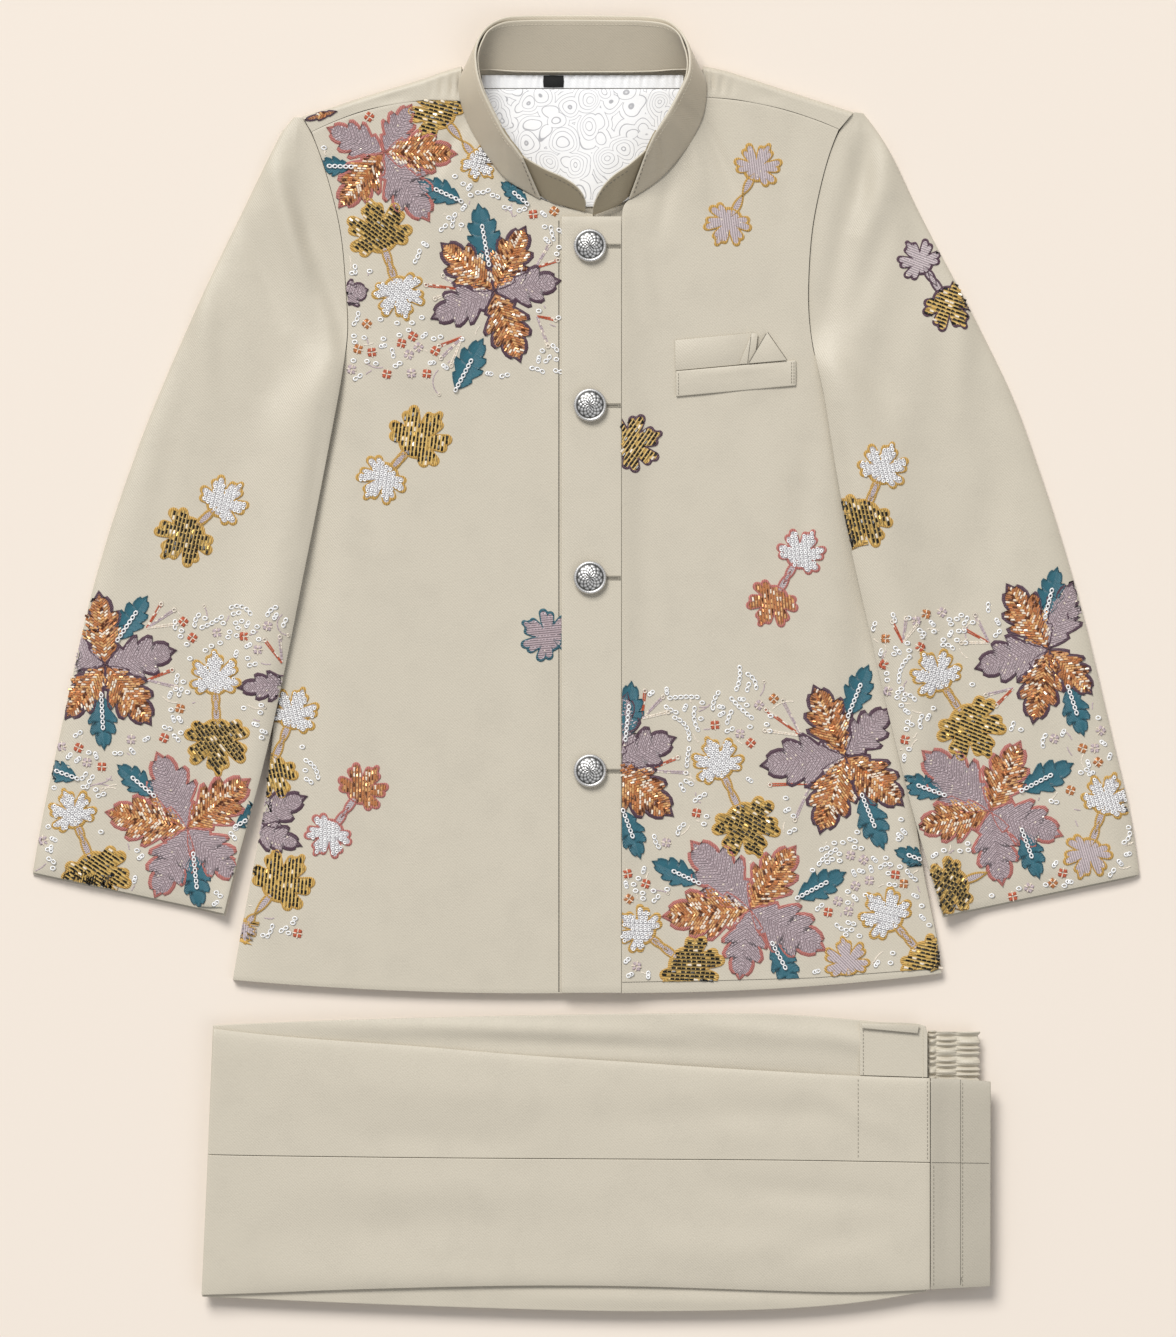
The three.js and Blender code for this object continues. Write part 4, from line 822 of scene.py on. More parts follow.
LINING_WALL = 0.9 * MM
LINING_EDGE = 0.3 * MM
LINING_FOLDS = [(-40, 318, -10, 290, 0.3, 8), (20, 322, 44, 296, 0.3, 7)]
lining_white = woven("lining_white", (0.84, 0.84, 0.85), roughness=0.45, mottle=0.01)
neck_lining = cloth_panel("neck_lining", LINING_FOLDS, LINING_WALL, LINING_EDGE, 2, lining_print())
STRIP_RIPPLE = 0.45
STRIP_WALL = 0.4 * MM
LEAST_RIPPLE = 0.25


def gathered_strip():
    """A plain strip whose ripples grow towards the collar."""
    low, high = (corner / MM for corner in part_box("lining_strip"))

    def place(u, v):
        x = low.x + (high.x - low.x) * u
        y = low.y + (high.y - low.y) * v
        ripple = math.sin(1.15 * x + 1.7 * math.sin(0.23 * x)) * math.sin(0.31 * x + 1.0)
        return x, y, high.z - STRIP_RIPPLE + STRIP_RIPPLE * ripple * (LEAST_RIPPLE + (1 - LEAST_RIPPLE) * v)

    grid_cloth(
        "lining_strip_cloth", "lining_strip", (220, 8), place, lining_white, STRIP_WALL, 0.15 * MM,
    )


gathered_strip()
label = rounded_copy("neck_label_tape", "neck_label", 1, label_tape, 0.95)

# %% [markdown]
# ## Breast pocket
# The welt is a stiffened strip stitched down at both ends. The square above it is folded to three flat
# layers, each laid on the one before, with its peaks towards the sleeve.

# %% Pocket
WELT_FOLDS = [(56, 166, 116, 172, 0.15, 3)]
welt = cloth_panel("pocket_welt", WELT_FOLDS, 1.3 * MM, 0.35 * MM, 2)
SQUARE_TOP = 7.5
SQUARE_STEP = 0.75
SQUARE_LAYERS = [
    [(51.4, 168.6), (51.2, 186.1), (95.4, 190.2), (92.5, 172.4)],
    [(88.0, 172.2), (95.4, 190.2), (98.9, 189.8), (97.0, 172.8)],
    [(93.4, 172.6), (104.1, 190.7), (115.4, 174.5)],
]


def pocket_square():
    """Three flat layers, each laid a little higher than the one before."""
    bm = bmesh.new()
    for step, outline in enumerate(SQUARE_LAYERS):
        lift = SQUARE_TOP + SQUARE_STEP * step
        corners = [bm.verts.new(Vector((x, y, lift)) * MM) for x, y in outline]
        layer = bm.faces.new(corners)
        layer.normal_update()
        if layer.normal.z < 0:
            layer.normal_flip()
    made = from_bmesh("pocket_square_cloth", bm, [suiting])
    thickened(made, 0.6 * MM, 0.25 * MM)
    return kept(made, ["pocket_square"])


square = pocket_square()

# %% [markdown]
# ## Buttons
# Four domed pewter buttons stand on shanks. The head is a grid turned round its middle, with a beaded rim and
# an ordinary lattice round a small rosette carved into the dome. The depth of the carving is kept as an
# attribute, so that the hollows can be darkened as antiqued metal is.

# %% Buttons
BUTTON_RADIUS = 9.5
BUTTON_RIM = 1.7
BUTTON_HEAD = 1.6
BUTTON_EDGE = 2.2
BUTTON_DOME = 2.2
BUTTON_ROUNDING = 0.5
CARVE_DEPTH = 0.34
SHANK_RADIUS = 2.2
CARVED_RADIUS = BUTTON_RADIUS - BUTTON_RIM
FACE_FOOT = BUTTON_HEAD + BUTTON_EDGE - BUTTON_ROUNDING
ROSETTE_SHARE = 0.3
GROOVE_SHARE = 0.92
RIM_BEADS = 40
RIM_BEAD_RISE = 0.5
RIM_FALL = 1.9
PEWTER_HIGH = (0.74, 0.73, 0.72)
PEWTER_HOLLOW = (0.085, 0.084, 0.08)


def carving(radius, angle):
    """0 on the high parts and 1 in the hollows."""
    share = radius / CARVED_RADIUS
    if share > 1:
        return 0.2 - 0.2 * math.cos(RIM_BEADS * angle)
    if share < ROSETTE_SHARE:
        return 0.5 + 0.5 * math.cos(8 * angle)
    if share > GROOVE_SHARE:
        return 0.9
    lattice = math.cos(6 * angle + 9 * share) * math.cos(6 * angle - 9 * share)
    return 1 - abs(lattice) ** 0.6


def button_height(radius, angle):
    if radius < CARVED_RADIUS:
        dome = BUTTON_DOME * (1 - (radius / CARVED_RADIUS) ** 2)
        return FACE_FOOT + dome - CARVE_DEPTH * carving(radius, angle)
    across = (radius - CARVED_RADIUS) / BUTTON_RIM
    bead = RIM_BEAD_RISE * math.sin(math.pi * min(across * 1.2, 1))
    return FACE_FOOT + bead - RIM_FALL * max(0, across - 0.75)


def antiqued_pewter():
    made, tree, shader = finish("antiqued_pewter", (0.3, 0.3, 0.3), 0.42)
    shader.inputs["Metallic"].default_value = 0.85
    depth = tree.nodes.new("ShaderNodeAttribute")
    depth.attribute_name = "carve"
    coloured(tree, shader, depth.outputs["Fac"], (0.15, PEWTER_HIGH), (0.85, PEWTER_HOLLOW))
    bumped(tree, shader, [(noise_at(tree, 1200, 3), 0.05 * MM)])
    return made


pewter = antiqued_pewter()


def open_edges(bm):
    return [edge for edge in bm.edges if edge.is_boundary]


def drawn_down(bm, height, share=1.0):
    """The open edge runs on down to a height, drawn in to a share of its radius."""
    for item in bmesh.ops.extrude_edge_only(bm, edges=open_edges(bm))["geom"]:
        if isinstance(item, bmesh.types.BMVert):
            item.co = Vector((item.co.x * share, item.co.y * share, height * MM))


def button(node):
    low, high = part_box(node)
    middle = (low + high) / 2
    bm = bmesh.new()
    carve = bm.verts.layers.float.new("carve")

    def place(u, v):
        radius = BUTTON_RADIUS * v
        angle = 2 * math.pi * u
        return (radius * math.cos(angle), radius * math.sin(angle), button_height(radius, angle))

    for vertex in mapped_grid(bm, 96, 26, place):
        flat = Vector((vertex.co.x, vertex.co.y)) / MM
        vertex[carve] = carving(flat.length, math.atan2(flat.y, flat.x))
    bmesh.ops.remove_doubles(bm, verts=bm.verts, dist=WELD)
    drawn_down(bm, BUTTON_HEAD + BUTTON_ROUNDING)
    drawn_down(bm, BUTTON_HEAD, SHANK_RADIUS / BUTTON_RADIUS)
    drawn_down(bm, 0)
    bmesh.ops.holes_fill(bm, edges=open_edges(bm), sides=0)
    bmesh.ops.recalc_face_normals(bm, faces=bm.faces)
    bmesh.ops.translate(bm, verts=bm.verts, vec=(middle.x, middle.y, low.z))
    kept(from_bmesh(node + "_metal", bm, [pewter]), [node])


for number in (1, 2, 3, 4):
    button(f"button_{number}")

# %% [markdown]
# ## Small repeated pieces
# Stitches, sequins and beads are the same few shapes thousands of times. Each place is one row of values, and
# a whole kind is built at once from arrays: a bar with eight corners, tapered towards its top, serves for
# stitches, lines of painted shade and long beads, and a flat ring with a raised middle serves for sequins.

# %% Bars and rings from arrays
UP = Vector((0, 0, 1))


def heading(angle):
    """The direction at an angle in radians, seen from above."""
    return Vector((math.cos(angle), math.sin(angle), 0))


def tilted(normal, spread):
    """The normal, leaned a little by chance."""
    lean = Vector((chance.uniform(-spread, spread), chance.uniform(-spread, spread), 0))
    return (normal + lean).normalized()


class Scatter:
    """Collects places for one small shape and builds them as one mesh."""

    def __init__(self, corners, faces):
        self.corners = np.array(corners, float)
        self.faces = np.array(faces, int)
        self.frames = []
        self.kinds = []

    def add(self, point, direction, sizes, kind, normal=UP):
        ahead = (direction - normal * direction.dot(normal)).normalized()
        side = normal.cross(ahead)
        length, width, height = sizes
        self.frames.append([*(ahead * length), *(side * width), *(normal * height), *point])
        self.kinds.append(kind)

    def build(self, name, materials, slot, smooth=False):
        frames = np.array(self.frames, float).reshape(-1, 4, 3)
        count = len(frames)
        points = np.einsum("pk,nkc->npc", self.corners, frames[:, :3]) + frames[:, 3][:, None]
        step = len(self.corners)
        faces = (self.faces[None] + (np.arange(count) * step)[:, None, None]).reshape(-1, self.faces.shape[1])
        mesh = bpy.data.meshes.new(name)
        mesh.from_pydata((points.reshape(-1, 3) * MM).tolist(), [], faces.tolist())
        mesh.polygons.foreach_set("material_index", np.repeat(self.kinds, len(self.faces)).astype(np.int32))
        mesh.polygons.foreach_set("use_smooth", np.full(len(faces), smooth))
        mesh.update()
        made = new_object(name, mesh, materials)
        print(name, count, "pieces,", len(faces) * 2, "triangles")
        return kept(made)


def bar_shape():
    """A bar one unit long and wide and high, with a narrower top."""
    low = [(x, y, 0) for x, y in ((-0.5, -0.5), (0.5, -0.5), (0.5, 0.5), (-0.5, 0.5))]
    high = [(x * 0.72, y * 0.5, 1) for x, y, _ in low]
    sides = [(i, (i + 1) % 4, 4 + (i + 1) % 4, 4 + i) for i in range(4)]
    return low + high, sides + [(4, 5, 6, 7), (3, 2, 1, 0)]


def ring_shape(count, hole):
    """A ring of radius one with a hole, raised between its edges, and closed below."""
    corners = []
    for radius, height in ((1.0, 0.0), (0.72, 1.0), (hole, 0.45)):
        for i in range(count):
            angle = 2 * math.pi * i / count
            corners.append((radius * math.cos(angle), radius * math.sin(angle), height))
    faces = []
    for low, high in ((0, count), (count, 2 * count), (2 * count, 0)):
        for i in range(count):
            j = (i + 1) % count
            faces.append((low + i, low + j, high + j, high + i))
    return corners, faces


stitches = Scatter(*bar_shape())
bars = Scatter(*bar_shape())
rings = Scatter(*ring_shape(8, 0.38))
small_rings = Scatter(*ring_shape(6, 0.24))


def along_path(points, pitch):
    """Even steps along a line of points: (point, direction) pairs."""
    places = []
    left = pitch / 2
    for start, end in zip(points, points[1:]):
        run = end - start
        length = run.length
        if length < 1e-6:
            continue
        while left <= length:
            places.append((start + run * (left / length), run.normalized()))
            left += pitch
        left -= length
    return places


# %% [markdown]
# ## Where things lie
# Embroidery and stitches follow the cloth that carries them. Each panel's skin is kept twice: once as it is,
# to find its height, and once pressed flat, to find the nearest place on it where a motif runs off its edge.


# %% Resting on cloth
def carrier(*made, above=()):
    """The skins as they are and pressed flat, without what lies below each line in above."""
    bm = bmesh.new()
    for each in made:
        bm.from_mesh(each.data)
    skin = BVHTree.FromBMesh(bm)
    for (x0, y0), (x1, y1) in zip(above, above[1:]):
        bmesh.ops.bisect_plane(
            bm, geom=bm.verts[:] + bm.edges[:] + bm.faces[:], plane_co=(x0 * MM, y0 * MM, 0),
            plane_no=(y1 - y0, x0 - x1, 0), clear_outer=True,
        )
    for vertex in bm.verts:
        vertex.co.z = 0
    flat = BVHTree.FromBMesh(bm)
    bm.free()
    return skin, flat


# The hem is faced with a plain band, and the embroidery of the left front ends at its seam
HEM_SEAM = [(18.0, -183.2), (73.0, -182.4), (131.7, -180.7), (206.0, -175.0)]
RIGHT_FRONT = carrier(front_right)
LEFT_FRONT = carrier(front_left, above=HEM_SEAM)
RIGHT_SLEEVE = carrier(sleeve_right)
LEFT_SLEEVE = carrier(sleeve_left)
PLACKET = carrier(placket)
WAIST = carrier(waistband)
UPPER_LEG = carrier(leg_back, leg_front)
WELT = carrier(welt)
RIGHT_SHOULDER_TOP = carrier(shoulder_right)
LOOK_DOWN = 0.1


def resting(cloth, x, y):
    """The point on the cloth at x, y, or the nearest one on its edge, and how far that is, in millimetres."""
    skin, flat = cloth
    wanted = Vector((x, y, 0)) * MM
    spot = flat.find_nearest(wanted)[0]
    hit = skin.ray_cast(Vector((spot.x, spot.y, LOOK_DOWN)), -UP)[0]
    if hit is None:
        hit = skin.find_nearest(Vector((spot.x, spot.y, LOOK_DOWN)))[0]
    return hit / MM, (spot - wanted).length / MM


STITCH_RISE = 0.22
# The stitches' materials, by their place in the list that they are built with: thread, the lighter piping
# colour, and the dark colour of seams and of painted shade lines
THREAD, PALE, SHADE = range(3)


def stitched(path, pitch, length, kind=THREAD, width=0.42):
    for point, direction in along_path(path, pitch):
        stitches.add(point, direction, (length, width, STITCH_RISE), kind)


def seam(cloth, start, end, steps, lift, pitch, length, kind=THREAD, width=0.42):
    """A straight row of stitches that follows the cloth, or stands off it by a lift. Some rows in the dark
    colour are lines of painted shade.
    """
    path = []
    for i in range(steps + 1):
        x, y = (a + (b - a) * i / steps for a, b in zip(start, end))
        path.append(resting(cloth, x, y)[0] + UP * lift)
    stitched(path, pitch, length, kind, width)


# %% Stitching on the flat pieces
ABOVE = 0.05
JUST_ABOVE = 0.02
HIP = carrier(hip_panel)
SQUARE = carrier(square)
# Cloth, both ends, steps along it, lift, pitch, stitch length, and for some rows their material and width
SEAMS = [
    # The placket's edge and its seam on the left front
    (PLACKET, (-12.7, 256), (-12.7, -189), 120, -0.08, 2.1, 1.7, PALE, 0.3),
    (LEFT_FRONT, (22.3, 262), (22.3, -189), 120, -0.08, 2.1, 1.7, PALE, 0.3),
    *((LEFT_FRONT, *ends, 40, JUST_ABOVE, 1.5, 1.46, SHADE, 0.3) for ends in zip(HEM_SEAM, HEM_SEAM[1:])),
    # Painted shade along the placket's edge, on the right front: a solid dark line
    (RIGHT_FRONT, (-15.6, 255), (-15.6, -189), 120, -JUST_ABOVE, 3.0, 3.0, SHADE, 0.7),
    # The rows beside the waistband's seam, at its edge, on the leg and round the hip panel
    (UPPER_LEG, (196.2, -285.2), (196.2, -239), 30, ABOVE, 2.4, 1.5),
    (WAIST, (199.8, -288.0), (199.8, -358.6), 30, ABOVE, 2.4, 1.5),
    (WAIST, (216.4, -240.5), (216.4, -358.4), 30, ABOVE, 2.4, 1.5),
    (UPPER_LEG, (156.4, -238.5), (156.4, -284), 20, ABOVE, 2.4, 1.4),
    (HIP, (159.4, -210.2), (159.4, -237.0), 12, ABOVE, 2.2, 1.4),
    (HIP, (193.6, -210.0), (193.6, -237.6), 12, ABOVE, 2.2, 2.2, PALE, 0.5),
    # The side seam runs on across the waistband, and the band has one seam of its own
    (WAIST, (198.6, -286.6), (232.2, -287.0), 40, JUST_ABOVE, 1.5, 1.5, SHADE, 0.32),
    (WAIST, (215.2, -239.0), (215.2, -359.4), 40, JUST_ABOVE, 1.5, 1.5, SHADE, 0.32),
    # The welt's ends
    (WELT, (118.2, 173.6), (118.2, 160.4), 8, ABOVE, 1.8, 1.3),
    (WELT, (119.6, 173.6), (119.6, 160.4), 8, ABOVE, 1.8, 1.3),
    (WELT, (53.2, 167.2), (53.2, 154.6), 8, ABOVE, 1.8, 1.3),
    # Painted shade under the folded edges of the pocket square, as dark lines
    (LEFT_FRONT, (104.5, 190.8), (115.9, 174.4), 12, JUST_ABOVE, 1.4, 1.4, SHADE, 0.32),
    (SQUARE, (95.0, 189.4), (93.0, 173.2), 12, JUST_ABOVE, 1.4, 1.4, SHADE, 0.32),
    (SQUARE, (103.7, 190.0), (94.0, 173.6), 12, JUST_ABOVE, 1.4, 1.4, SHADE, 0.32),
]
for row in SEAMS:
    seam(*row)
print(len(SEAMS), "rows of stitches")

# %% [markdown]
# ## Buttonholes
# Each button comes through a hole worked from its edge to the placket's seam: a slit between two rows of
# close thread, closed by a small bar.

# %% Buttonholes
BUTTON_YS = [240.2, 148.5, 49.3, -61.7]
SLIT_START = 11.6
SLIT_STEP = 0.75
SLIT_STITCHES = 11
BAR_X = 19.6
SLIT_MIDDLE_X = 15.2
ACROSS_HOLE = Vector((0, 1, 0))
ALONG_HOLE = Vector((1, 0, 0))
for hole_y in BUTTON_YS:
    for step in range(SLIT_STITCHES):
        x = SLIT_START + SLIT_STEP * step
        for side in (-0.75, 0.75):
            stitches.add(resting(PLACKET, x, hole_y + side)[0], ACROSS_HOLE, (1.15, 0.6, 0.4), THREAD)
    for side in (-0.5, 0.5):
        stitches.add(resting(PLACKET, BAR_X, hole_y + side)[0], ACROSS_HOLE, (1.6, 0.7, 0.5), THREAD)
    # The slit is a thin dark bar of painted shade in the cut
    stitches.add(resting(PLACKET, SLIT_MIDDLE_X, hole_y)[0], ALONG_HOLE, (7.5, 0.5, 0.1), SHADE)

# %% [markdown]
# ## Cords and stitches of the collar
# A round cord in the same cloth is sewn into the collar's edges, coloured lighter as painted highlight on its
# round. It is drawn as a curve with a round section and then made a mesh. A row of stitches runs below it,
# and the ends and tabs have visible hand stitches.


# %% Collar cords
def cord_line(name, points, radius):
    """A round cord along the points, drawn as a curve and kept as a mesh."""
    data = bpy.data.curves.new(name, "CURVE")
    data.dimensions = "3D"
    data.bevel_depth = radius * MM
    data.bevel_resolution = 2
    data.use_fill_caps = True
    line = data.splines.new("POLY")
    line.points.add(len(points) - 1)
    for target, point in zip(line.points, points):
        target.co = (*(Vector(point) * MM), 1)
    drawn = bpy.data.objects.new(name, data)
    scene.collection.objects.link(drawn)
    mesh = bpy.data.meshes.new_from_object(drawn.evaluated_get(bpy.context.evaluated_depsgraph_get()))
    bpy.data.objects.remove(drawn)
    for face in mesh.polygons:
        face.use_smooth = True
    kept(new_object(name, mesh, [piping_cloth]))


def collar_line(start, end, up, inward, count=160):
    return [collar_point(start + (end - start) * i / count, up, inward) for i in range(count + 1)]


PIPING = 0.62
INNER_PIPING = 0.5
TAB_PIPING = 0.45
CORD_TUCK = 0.3
OUTSIDE = -0.8
cord_line("collar_edge_cord", collar_line(0, LAST_ROW, 1.0, 0.0, 220), PIPING)
inner_edge = collar_line(TAB_START + CORD_TUCK, LAST_ROW - TAB_START - CORD_TUCK, INNER_TOP, LAYER_STEP)
cord_line("collar_inner_edge_cord", inner_edge, INNER_PIPING)
for name, at in (("collar_end_cord_right", 0), ("collar_end_cord_left", LAST_ROW)):
    cord_line(name, [collar_point(at, i / 12, 0) for i in range(13)], PIPING)
for hand, rows in TAB_ROWS.items():
    cord_line("tab_cord_" + hand, [smooth_path(rows, 0.5 + i / 60)[3:] for i in range(31)], TAB_PIPING)
stitched(collar_line(0, LAST_ROW, 0.9, OUTSIDE), 2.2, 1.5, PALE, 0.35)
stitched(collar_line(6.0, LAST_ROW - 6.0, 0.86, LAYER_STEP + 0.6), 2.2, 1.5, PALE, 0.35)
for at in (0.22, LAST_ROW - 0.22):
    stitched([collar_point(at, 0.08 + i / 16, OUTSIDE) for i in range(14)], 3.1, 1.9, SHADE, 0.5)
for rows in TAB_ROWS.values():
    path = []
    for i in range(12):
        row = smooth_path(rows, 0.9 - 0.028 * (11 - i))
        path.append(Vector(row[:3]).lerp(Vector(row[3:]), 0.84) + UP * 0.7)
    stitched(path, 2.8, 1.7, SHADE, 0.45)
# The back neck seam, where the inner band turns into the body
cord_line("back_neck_seam", collar_line(7.6, 16.4, 0.03, LAYER_STEP + 0.5, 60), 0.4)

# %% [markdown]
# ## Thread finishes
# Embroidery threads shine across their lie. Leaves carry their own map: one value across the rows of thread
# and one along them, so the rows can fan out from a midrib as the stitches do.


# %% Thread and bead finishes
THREAD_SHEEN = 0.3
THREAD_ROUGHNESS = 0.5
TWIST_SCALE = 1800
TWIST_DEPTH = 0.08 * MM


def thread(name, colour, pitch=1.1, dark=0.6, depth=0.28):
    """Rows of stitches: darker in the gaps between them and paler on their crests, as painted shade and
    painted highlight.
    """
    made, tree, shader = finish(name, colour, THREAD_ROUGHNESS)
    shader.inputs["Sheen Weight"].default_value = THREAD_SHEEN
    shader.inputs["Anisotropic"].default_value = 0.4
    lie = tree.nodes.new("ShaderNodeUVMap")
    rows = add_node(tree, "ShaderNodeTexWave", Scale=1 / (pitch * BANDS_PER_UNIT), Distortion=0.6)
    rows.bands_direction = "Y"
    rows.inputs["Detail Scale"].default_value = 2.0
    tree.links.new(lie.outputs["UV"], rows.inputs["Vector"])
    coloured(tree, shader, rows.outputs["Fac"], (0.05, scaled(colour, dark)), (0.6, scaled(colour, 1.12)))
    twist = noise_at(tree, TWIST_SCALE, 1)
    bumped(tree, shader, [(rows.outputs["Fac"], depth * MM), (twist, TWIST_DEPTH)])
    return made


def gloss(name, colour, roughness, metallic=0.0):
    """A shiny bead: its colour is a little uneven, so that no two look alike."""
    made, tree, shader = finish(name, colour, roughness)
    shader.inputs["Metallic"].default_value = metallic
    uneven = noise_at(tree, 600, 2)
    coloured(tree, shader, uneven, (0.3, scaled(colour, 0.8)), (0.7, scaled(colour, 1.15)))
    return made


# Name and colour, and for some the pitch of their rows, how dark the painted shade in their gaps is and how
# deep
THREADS = [
    thread("rose_cord", (0.50, 0.16, 0.135)),
    thread("plum_cord", (0.085, 0.035, 0.06)),
    thread("gold_cord", (0.58, 0.34, 0.075)),
    thread("teal_cord", (0.012, 0.10, 0.14)),
    thread("copper_ground", (0.40, 0.16, 0.06), 1.6, 0.4),
    thread("mauve_fill", (0.37, 0.285, 0.305), 1.25, 0.5),
    thread("gold_ground", (0.55, 0.36, 0.10), 2.1, 0.3),
    thread("white_ground", (0.5, 0.48, 0.49), 1.5, 0.8),
    thread("silver_fill", (0.52, 0.44, 0.45), 1.3, 0.55),
    thread("teal_fill", (0.018, 0.125, 0.17), 0.9, 0.7, 0.15),
]
THREAD_AT = {made.name: i for i, made in enumerate(THREADS)}
# The pale bead is the colour of the pale beads round the berries; in the fills it stands for glints as
# painted highlight
BEADS = [
    gloss("copper_bead", (0.60, 0.24, 0.09), 0.25, 0.5), gloss("amber_bead", (0.82, 0.47, 0.20), 0.22, 0.4),
    gloss("pale_bead", (0.95, 0.80, 0.66), 0.2, 0.2), gloss("brown_bead", (0.10, 0.03, 0.012), 0.3, 0.2),
    gloss("black_bead", (0.006, 0.005, 0.004), 0.18), gloss("gold_bead", (0.62, 0.40, 0.12), 0.25, 0.6),
    gloss("pearl_bead", (0.93, 0.92, 0.92), 0.25), gloss("lilac_bead", (0.50, 0.41, 0.435), 0.35),
    gloss("rust_bead", (0.48, 0.10, 0.045), 0.4), gloss("cream_bead", (0.78, 0.70, 0.60), 0.4),
    gloss("navy_thread", (0.02, 0.05, 0.07), 0.6),
]
BEAD_AT = {made.name.split("_")[0]: i for i, made in enumerate(BEADS)}
FILLS = {
    "copper": "copper_ground", "mauve": "mauve_fill", "gold": "gold_ground", "white": "white_ground",
    "silver": "silver_fill", "teal": "teal_fill",
}

# %% [markdown]
# ## Leaves
# Petals and leaves share one shape: a grid laid along a midrib. Its rows follow a half width that swells and
# tapers, with teeth that lean towards the tip. Across each row the outer columns rise and fall again as the
# outline cord does, and the inner ones make the padded fill with a groove at the midrib.

# %% Leaf shape
# Heights above the cloth, in millimetres
CORD_RISE = 0.95
FILL_RISE = 0.75
FILL_SIDE = 0.4
RIB_RISE = 0.45
SUNK = -0.12
# How far a thread runs back towards the base for each step away from the midrib
HERRINGBONE = 0.75
SMALLEST_FACE = 0.004 * MM * MM
SAME_POINT = 0.004 * MM
LEAF_COLUMNS = 8
# The room that a leaf takes: places along it, each with a share of its half width, and a little all round
LEAF_ROOM = [(0.15, 0.35), (0.35, 0.9), (0.55, 0.9), (0.75, 0.9), (0.95, 0.35)]
ROOM_ROUND = 0.8
# A place this far beyond the cloth's edge counts as off it, for close work and for loose pieces
OFF_CLOTH = 0.05
LOOSE_OFF_CLOTH = 0.3
# A tooth: shares of its run along the leaf, and how far the edge stands out there
TOOTH = [(0.02, 0.76), (0.34, 0.95), (0.7, 1.13), (0.96, 1.1)]
FIRST_TOOTH = 0.28
LAST_TOOTH = 0.88
TOOTH_LEAN = 0.042


def swell(s):
    """The half width of a smooth leaf at a share of its length."""
    return s ** 0.92 * (1 - s) ** 1.12


def leaf_rows(teeth):
    """Rows along a leaf: (share of its length, half width, forward lean of the edge)."""
    rows = [(s, swell(s), 0.0) for s in (0.0, 0.04, 0.1, 0.17, 0.24)]
    if teeth == 0:
        return rows + [(s, swell(s), 0.0) for s in (0.35, 0.47, 0.6, 0.72, 0.83, 0.92, 1.0)]
    for tooth in range(teeth):
        for share, bulge in TOOTH:
            s = FIRST_TOOTH + (LAST_TOOTH - FIRST_TOOTH) * (tooth + share) / teeth
            rows.append((s, swell(s) * bulge, TOOTH_LEAN * share))
    return rows + [(0.89, swell(0.89) * 0.9, 0.0), (0.95, swell(0.95), 0.0), (1.0, 0.0, 0.0)]


def width_at(rows, share):
    for (s0, w0, _), (s1, w1, _) in zip(rows, rows[1:]):
        if s0 <= share <= s1:
            return w0 + (w1 - w0) * (share - s0) / max(s1 - s0, 1e-6)
    return 0.0


# %% Lobed leaf shape
# Rounded lobes: the direction of each, how far out its round end lies, and that end's size
HALF_LOBES = [
    (0.27, 0.70, 0.12), (0.83, 0.78, 0.15), (1.13, 0.69, 0.14), (1.73, 0.69, 0.16), (2.12, 0.6, 0.15),
]
LOBES = [(0.0, 0.88, 0.11), (0.0, 0.68, 0.2)]
LOBES += [(way * at, out, size) for at, out, size in HALF_LOBES for way in (1, -1)]
LOBE_HEART = 0.5
LOBE_SPREAD = 1.16
LOBE_FALL = 3.0
DARK_LEAF_SHARE = 1.15
LOBED_LIE = 35
STEM_ENDS = (0.2, 1.3)
STEM_HALF_WIDTH = 2.9
STEM_CORD = 1.3
LOBE_STEPS = 144
LOBE_RINGS = 6
STEEP_CORD = 2.2


def lobe_reach(angle):
    """How far the outline of a lobed leaf of size one lies from its middle, at an angle from its tip."""
    reach = LOBE_HEART
    for at, out, size in LOBES:
        off = abs(out * math.sin(angle - at))
        if math.cos(angle - at) > 0:
            far = out * math.cos(angle - at) + math.sqrt(max(size * size - off * off, 0.0))
            reach = max(reach, far - LOBE_FALL * max(off - size, 0.0))
    return reach


# %% Bead rows
# For each fill, the gap between its rows of beads and the step along a row, in petals and in lobed leaves
PETAL_BEADS = {"copper": (1.75, 3.0), "white": (2.3, 2.4), "mauve": (2.1, 1.9)}
LOBE_BEADS = {
    "gold": (2.1, 2.8), "white": (2.3, 2.4), "copper": (1.75, 2.9), "mauve": (2.1, 1.9), "silver": (2.1, 1.9),
}
# The kinds of bead in a fill, each up to a limit of luck from 0 to 1. The pale beads scattered in a fill are
# painted glints.
LILAC_ODDS = ((0.035, "pale"), (0.8, "lilac"))
BEAD_ODDS = {
    "copper": ((0.36, "copper"), (0.66, "amber"), (0.88, "pale"), (1.0, "brown")),
    "gold": ((0.84, "black"), (0.93, "gold"), (1.0, "pale")),
    "white": ((1.0, "pearl"),), "mauve": LILAC_ODDS, "silver": LILAC_ODDS,
}
SMALL_BEAD = (1.35, 0.85, 0.3)
BEAD_SIZES = {
    "copper": (2.7, 1.25, 0.42), "gold": (2.75, 1.45, 0.5), "white": (1.28, 1.2, 0.22),
    "mauve": SMALL_BEAD, "silver": SMALL_BEAD,
}
BEAD_LIFT = 0.5
RING_LIFT = 0.85
BEAD_TILT = 0.28
RIB_GAP = 0.7
CORD_GAP = 0.2
LOBE_CORD_GAP = 0.3
WIDEST_HALF = 20


